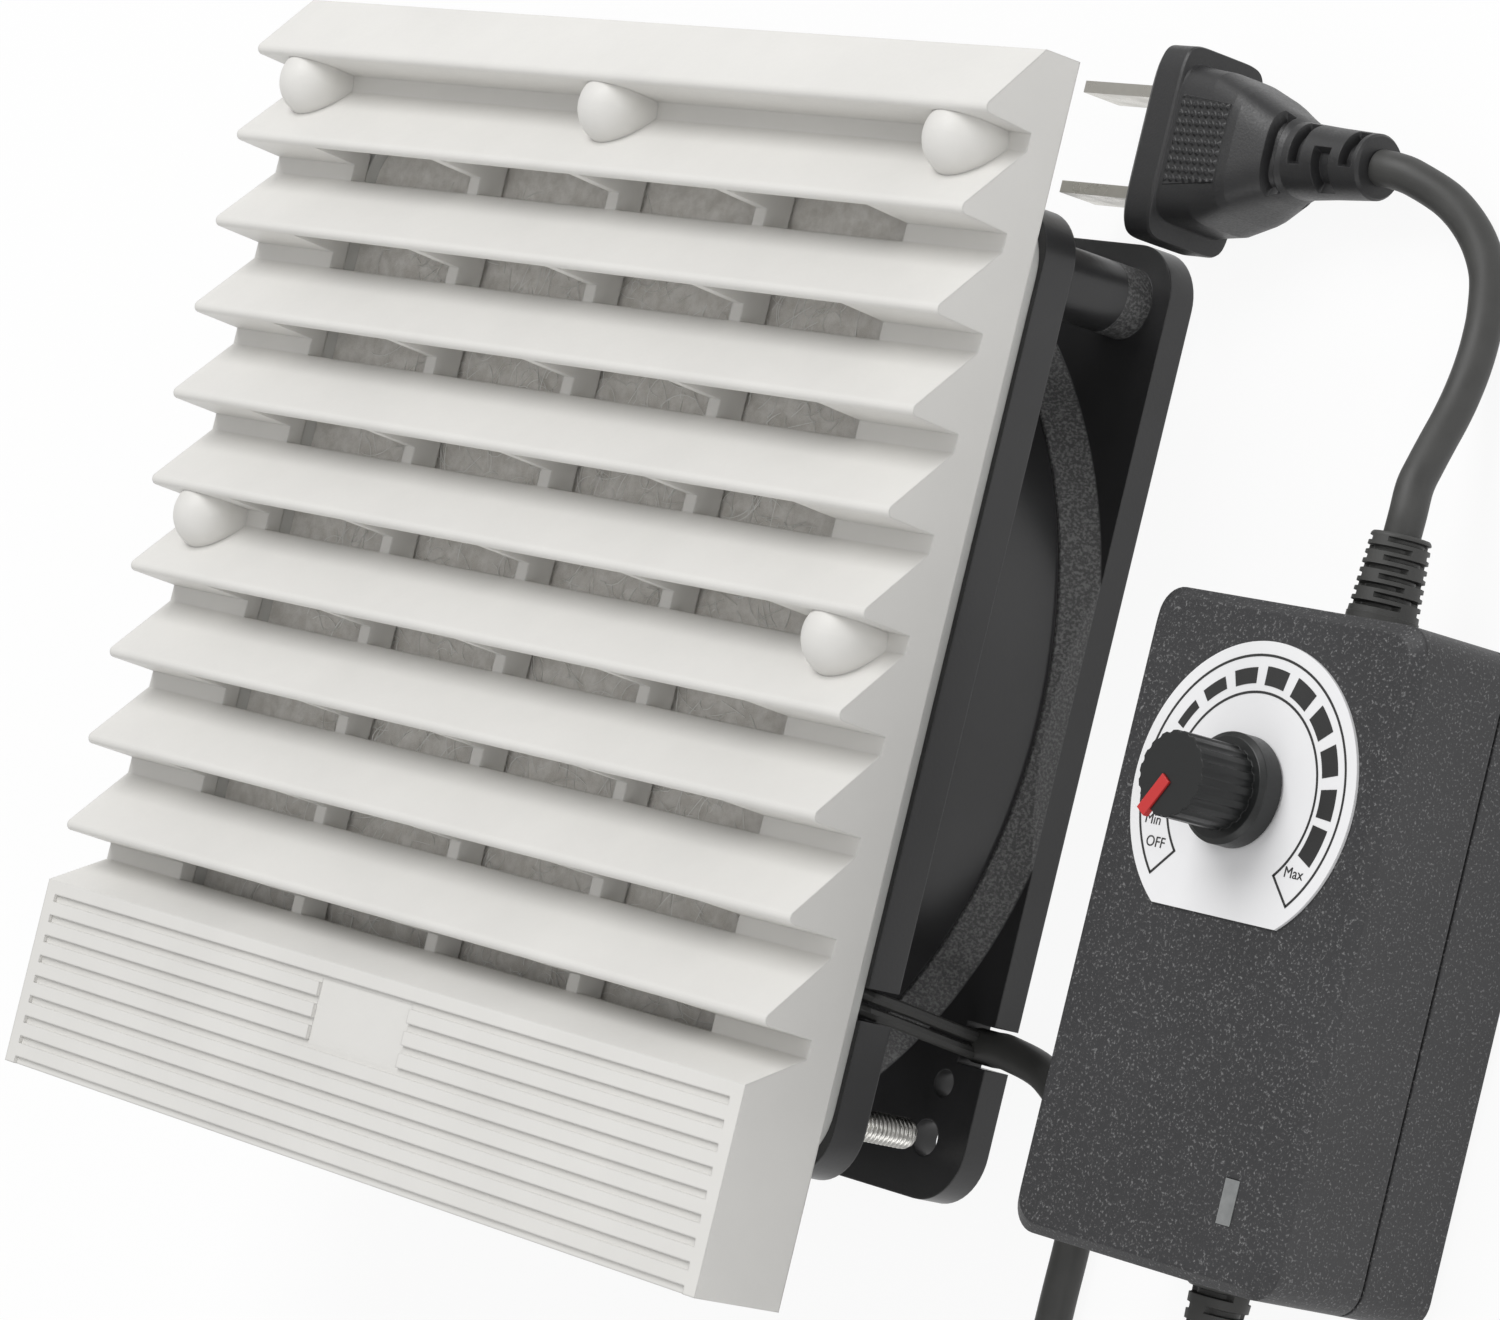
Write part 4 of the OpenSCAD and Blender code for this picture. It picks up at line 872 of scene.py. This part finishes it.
matLow, matHigh = (np.array(corner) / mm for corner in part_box("filter_mat"))
filterPad = makePiece("filterPad", *matPad(mat, matLow, matHigh), "fan_body",
                      feltFinish("feltFinish", feltLook), "filter_fibre", sharp=80)
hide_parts("filter_mat")
makePiece("matFibres", *looseFibres(mat, matLow, matHigh), "fan_body",
          plastic("fibreFinish", (0.86, 0.86, 0.84), rough=0.5, grainSize=0.5, grainDepth=0.004),
          "filter_fibre", sharp=80)
print("filter mat felted")

# Plug: a moulded body whose section goes from a rounded block to the round neck, with a knurled hollow on
# its broad face and slots in its neck

plug = {
    "front": 58.3,
    "y": 71.5,
    "z": 7.0,
    "stations": [(0, 22.6, 12.4, 5), (0.25, 23.6, 13.5, 6), (0.8, 24.1, 14, 7), (4.7, 24.1, 14, 7),
                 (5.1, 23.8, 13.8, 7), (5.25, 19.9, 13.4, 6), (5.6, 19.5, 13.4, 6), (10.6, 18.7, 13.4, 5),
                 (14.7, 15.8, 13.3, 4.5), (15.9, 14.8, 13.1, 4.2), (18.8, 12.3, 11.3, 3.4),
                 (21, 10.6, 9.8, 2.8), (22.5, 9.2, 9.0, 2.3), (28, 8.5, 8.5, 2), (34.2, 7.9, 7.9, 2),
                 (34.6, 7.3, 7.3, 2), (34.7, 4.8, 4.8, 2)],
    "slots": [(20.2, 21.6, 0), (23.7, 25.3, 1), (27.4, 29.9, -1), (31.7, 33.5, 1)],
    "slotDepth": 1.3,
    "slotEdge": 0.15,
    "slotShares": (0.45, 0.4, -0.2),
    "rows": 300,
    "sides": 96,
    "knurlFrom": 5.9,
    "knurlTo": 14.4,
    "knurlWide": (5.6, 4.8),
    "padLow": 6.4,
    "padThick": 0.33,
    "dot": 0.4,
    "dotSink": 0.12,
    "dotSteep": 1.6,
    "rimSteep": (20, 12),
    "pitch": 1.15,
    "padRows": 70,
    "padSides": 90,
}


# Sections along the plug: y and z are half the width and thickness times the cosine and sine of the
# angle raised to 2 over the section's squareness. A slot takes its depth off the radius
def plugShape(values):
    along, width, thick, square = np.array(values["stations"], float).T
    reach = np.unique(np.r_[np.linspace(0, along[-1], values["rows"]), along])
    wide, deep, power = (np.interp(reach, along, row)[:, None] for row in (width, thick, square))
    turn = fullTurn(values["sides"])[None, :]
    cos, sin = np.cos(turn), np.sin(turn)
    y = np.sign(cos) * np.abs(cos) ** (2 / power) * wide / 2
    z = np.sign(sin) * np.abs(sin) ** (2 / power) * deep / 2
    wholeShare, halfShare, midShare = values["slotShares"]
    cut = np.zeros_like(y)
    for begin, end, half in values["slots"]:
        inside = np.clip(np.minimum(reach - begin, end - reach) / values["slotEdge"] + 0.5, 0, 1)[:, None]
        side = np.abs(sin) > wholeShare
        if half:
            side = np.abs(sin) * (cos * half > midShare) > halfShare
        cut = np.maximum(cut, inside * side * values["slotDepth"])
    radius = np.hypot(y, z)
    share = 1 - cut / radius
    ring = np.stack([np.broadcast_to(values["front"] + reach[:, None], y.shape), values["y"] + y * share,
                     values["z"] + z * share], -1)
    return ring.reshape(-1, 3), ringFaces(len(reach), values["sides"])


# The grip patch on the broad face: a thin pad whose height is a product of two diagonal cosines, so that
# round dots stand in slanting rows
def knurlPad(values):
    share = np.linspace(0, 1, values["padRows"])[:, None]
    side = np.linspace(-1, 1, values["padSides"])[None, :]
    reach = values["knurlFrom"] + (values["knurlTo"] - values["knurlFrom"]) * share
    half = values["knurlWide"][0] + (values["knurlWide"][1] - values["knurlWide"][0]) * share
    x = np.broadcast_to(values["front"] + reach, (values["padRows"], values["padSides"]))
    y = values["y"] + half * side
    turn = np.pi / values["pitch"]
    waves = np.cos(turn * (x + y)) * np.cos(turn * (x - y))
    dots = np.clip(waves * values["dotSteep"], 0, 1)
    endSteep, sideSteep = values["rimSteep"]
    rim = np.clip(np.minimum(np.minimum(share, 1 - share) * endSteep, (1 - np.abs(side)) * sideSteep), 0, 1)
    base = values["z"] + values["padLow"]
    top = base + values["padThick"] + (values["dot"] * dots - values["dotSink"]) * rim
    return padOf(np.stack([x, y, top], -1), np.stack([x, y, np.full_like(top, base)], -1))


plugMade = makePiece("plugMoulding", *joined([plugShape(plug), knurlPad(plug)]), "fan_body",
                     plastic("plugPlastic", (0.022, 0.022, 0.023), rough=0.42, grainSize=0.3, grainDepth=0.02,
                             cloudy=0.12, soften=0.15), "plug_black", sharp=32)
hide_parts("plug_body")
print("plug moulded")

# Screws: a helical thread on each shank and a domed, crossed head

screws = {
    "places": [(-52.5, -52.5), (52.5, -52.5), (52.5, 52.5), (-52.5, 52.5)],
    "seat": 27.9,
    "length": 21,
    "crest": 1.97,
    "root": 1.6,
    "pitch": 0.7,
    "sides": 40,
    "stepsPerTurn": 10,
    "steep": 1.35,
    "rootShare": 0.2,
    "plain": 1.2,
    "runOut": 0.3,
    "tipShare": 0.2,
    "head": [(4.0, 0), (4.0, 1.35), (3.9, 1.7), (3.6, 1.95), (3.0, 2.12), (2.2, 2.2)],
    "cross": (0.62, 2.3, 1.15),
    "crossEdge": 0.12,
    "headSides": 96,
    "crownRings": 26,
    "crownHole": 0.02,
}


# The radius goes from root to crest and back once per pitch: a triangle wave of height less the share of
# a turn that the angle is, held flat at crest and root. The thread fades over its last pitch, and under the
# head the shank is plain
def threadedShank(values):
    steps = int(values["length"] / values["pitch"] * values["stepsPerTurn"])
    height = np.linspace(-values["length"], 0, steps)[:, None]
    turn = fullTurn(values["sides"])[None, :]
    phase = (height / values["pitch"] - turn / (2 * np.pi)) % 1
    wave = np.clip(np.abs(2 * phase - 1) * values["steep"] - values["rootShare"], 0, 1)
    plain = np.clip((height + values["plain"]) / values["runOut"], 0, 1)
    tip = np.clip((height + values["length"]) / values["pitch"], 0, 1)
    full = values["tipShare"] + (1 - values["tipShare"]) * tip
    radius = values["root"] + (values["crest"] - values["root"]) * np.maximum(wave * full, plain)
    ring = np.stack([radius * np.cos(turn), radius * np.sin(turn), np.broadcast_to(height, radius.shape)], -1)
    return ring.reshape(-1, 3), ringFaces(steps, values["sides"])


# The head's turned profile above its seat. On its crown the height is lowered to the recess wherever a
# point is inside one of the two crossing arms
def crossedHead(values):
    sides, rings = values["headSides"], values["crownRings"]
    half, reach, deep = values["cross"]
    profile = np.array(values["head"], float)
    turn = fullTurn(sides)
    inner = np.linspace(profile[-1, 0], values["crownHole"], rings)
    radius = np.r_[profile[:, 0], inner[1:]][:, None] * np.ones(sides)
    height = np.r_[profile[:, 1], np.full(rings - 1, profile[-1, 1])][:, None] * np.ones(sides)
    x, y = radius * np.cos(turn), radius * np.sin(turn)
    arms = np.minimum(np.maximum(np.abs(x) - half, np.abs(y) - reach),
                      np.maximum(np.abs(y) - half, np.abs(x) - reach))
    sunk = deep * np.clip(-arms / values["crossEdge"] + 0.5, 0, 1)
    height = height - np.where(np.arange(len(height))[:, None] >= len(profile), sunk, 0)
    return np.stack([x, y, height], -1).reshape(-1, 3), ringFaces(len(radius), sides)


# The same screw at each of the frame's corners
def screwSet(values):
    shank, head = threadedShank(values), crossedHead(values)
    return joined([(points + (x, y, values["seat"]), faces)
                   for x, y in values["places"] for points, faces in (shank, head)])


screwPieces = makePiece("fanScrews", *screwSet(screws), "fan_body", brightSteel, "screw_steel", sharp=50)
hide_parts("fan_screws")
print("screws threaded")
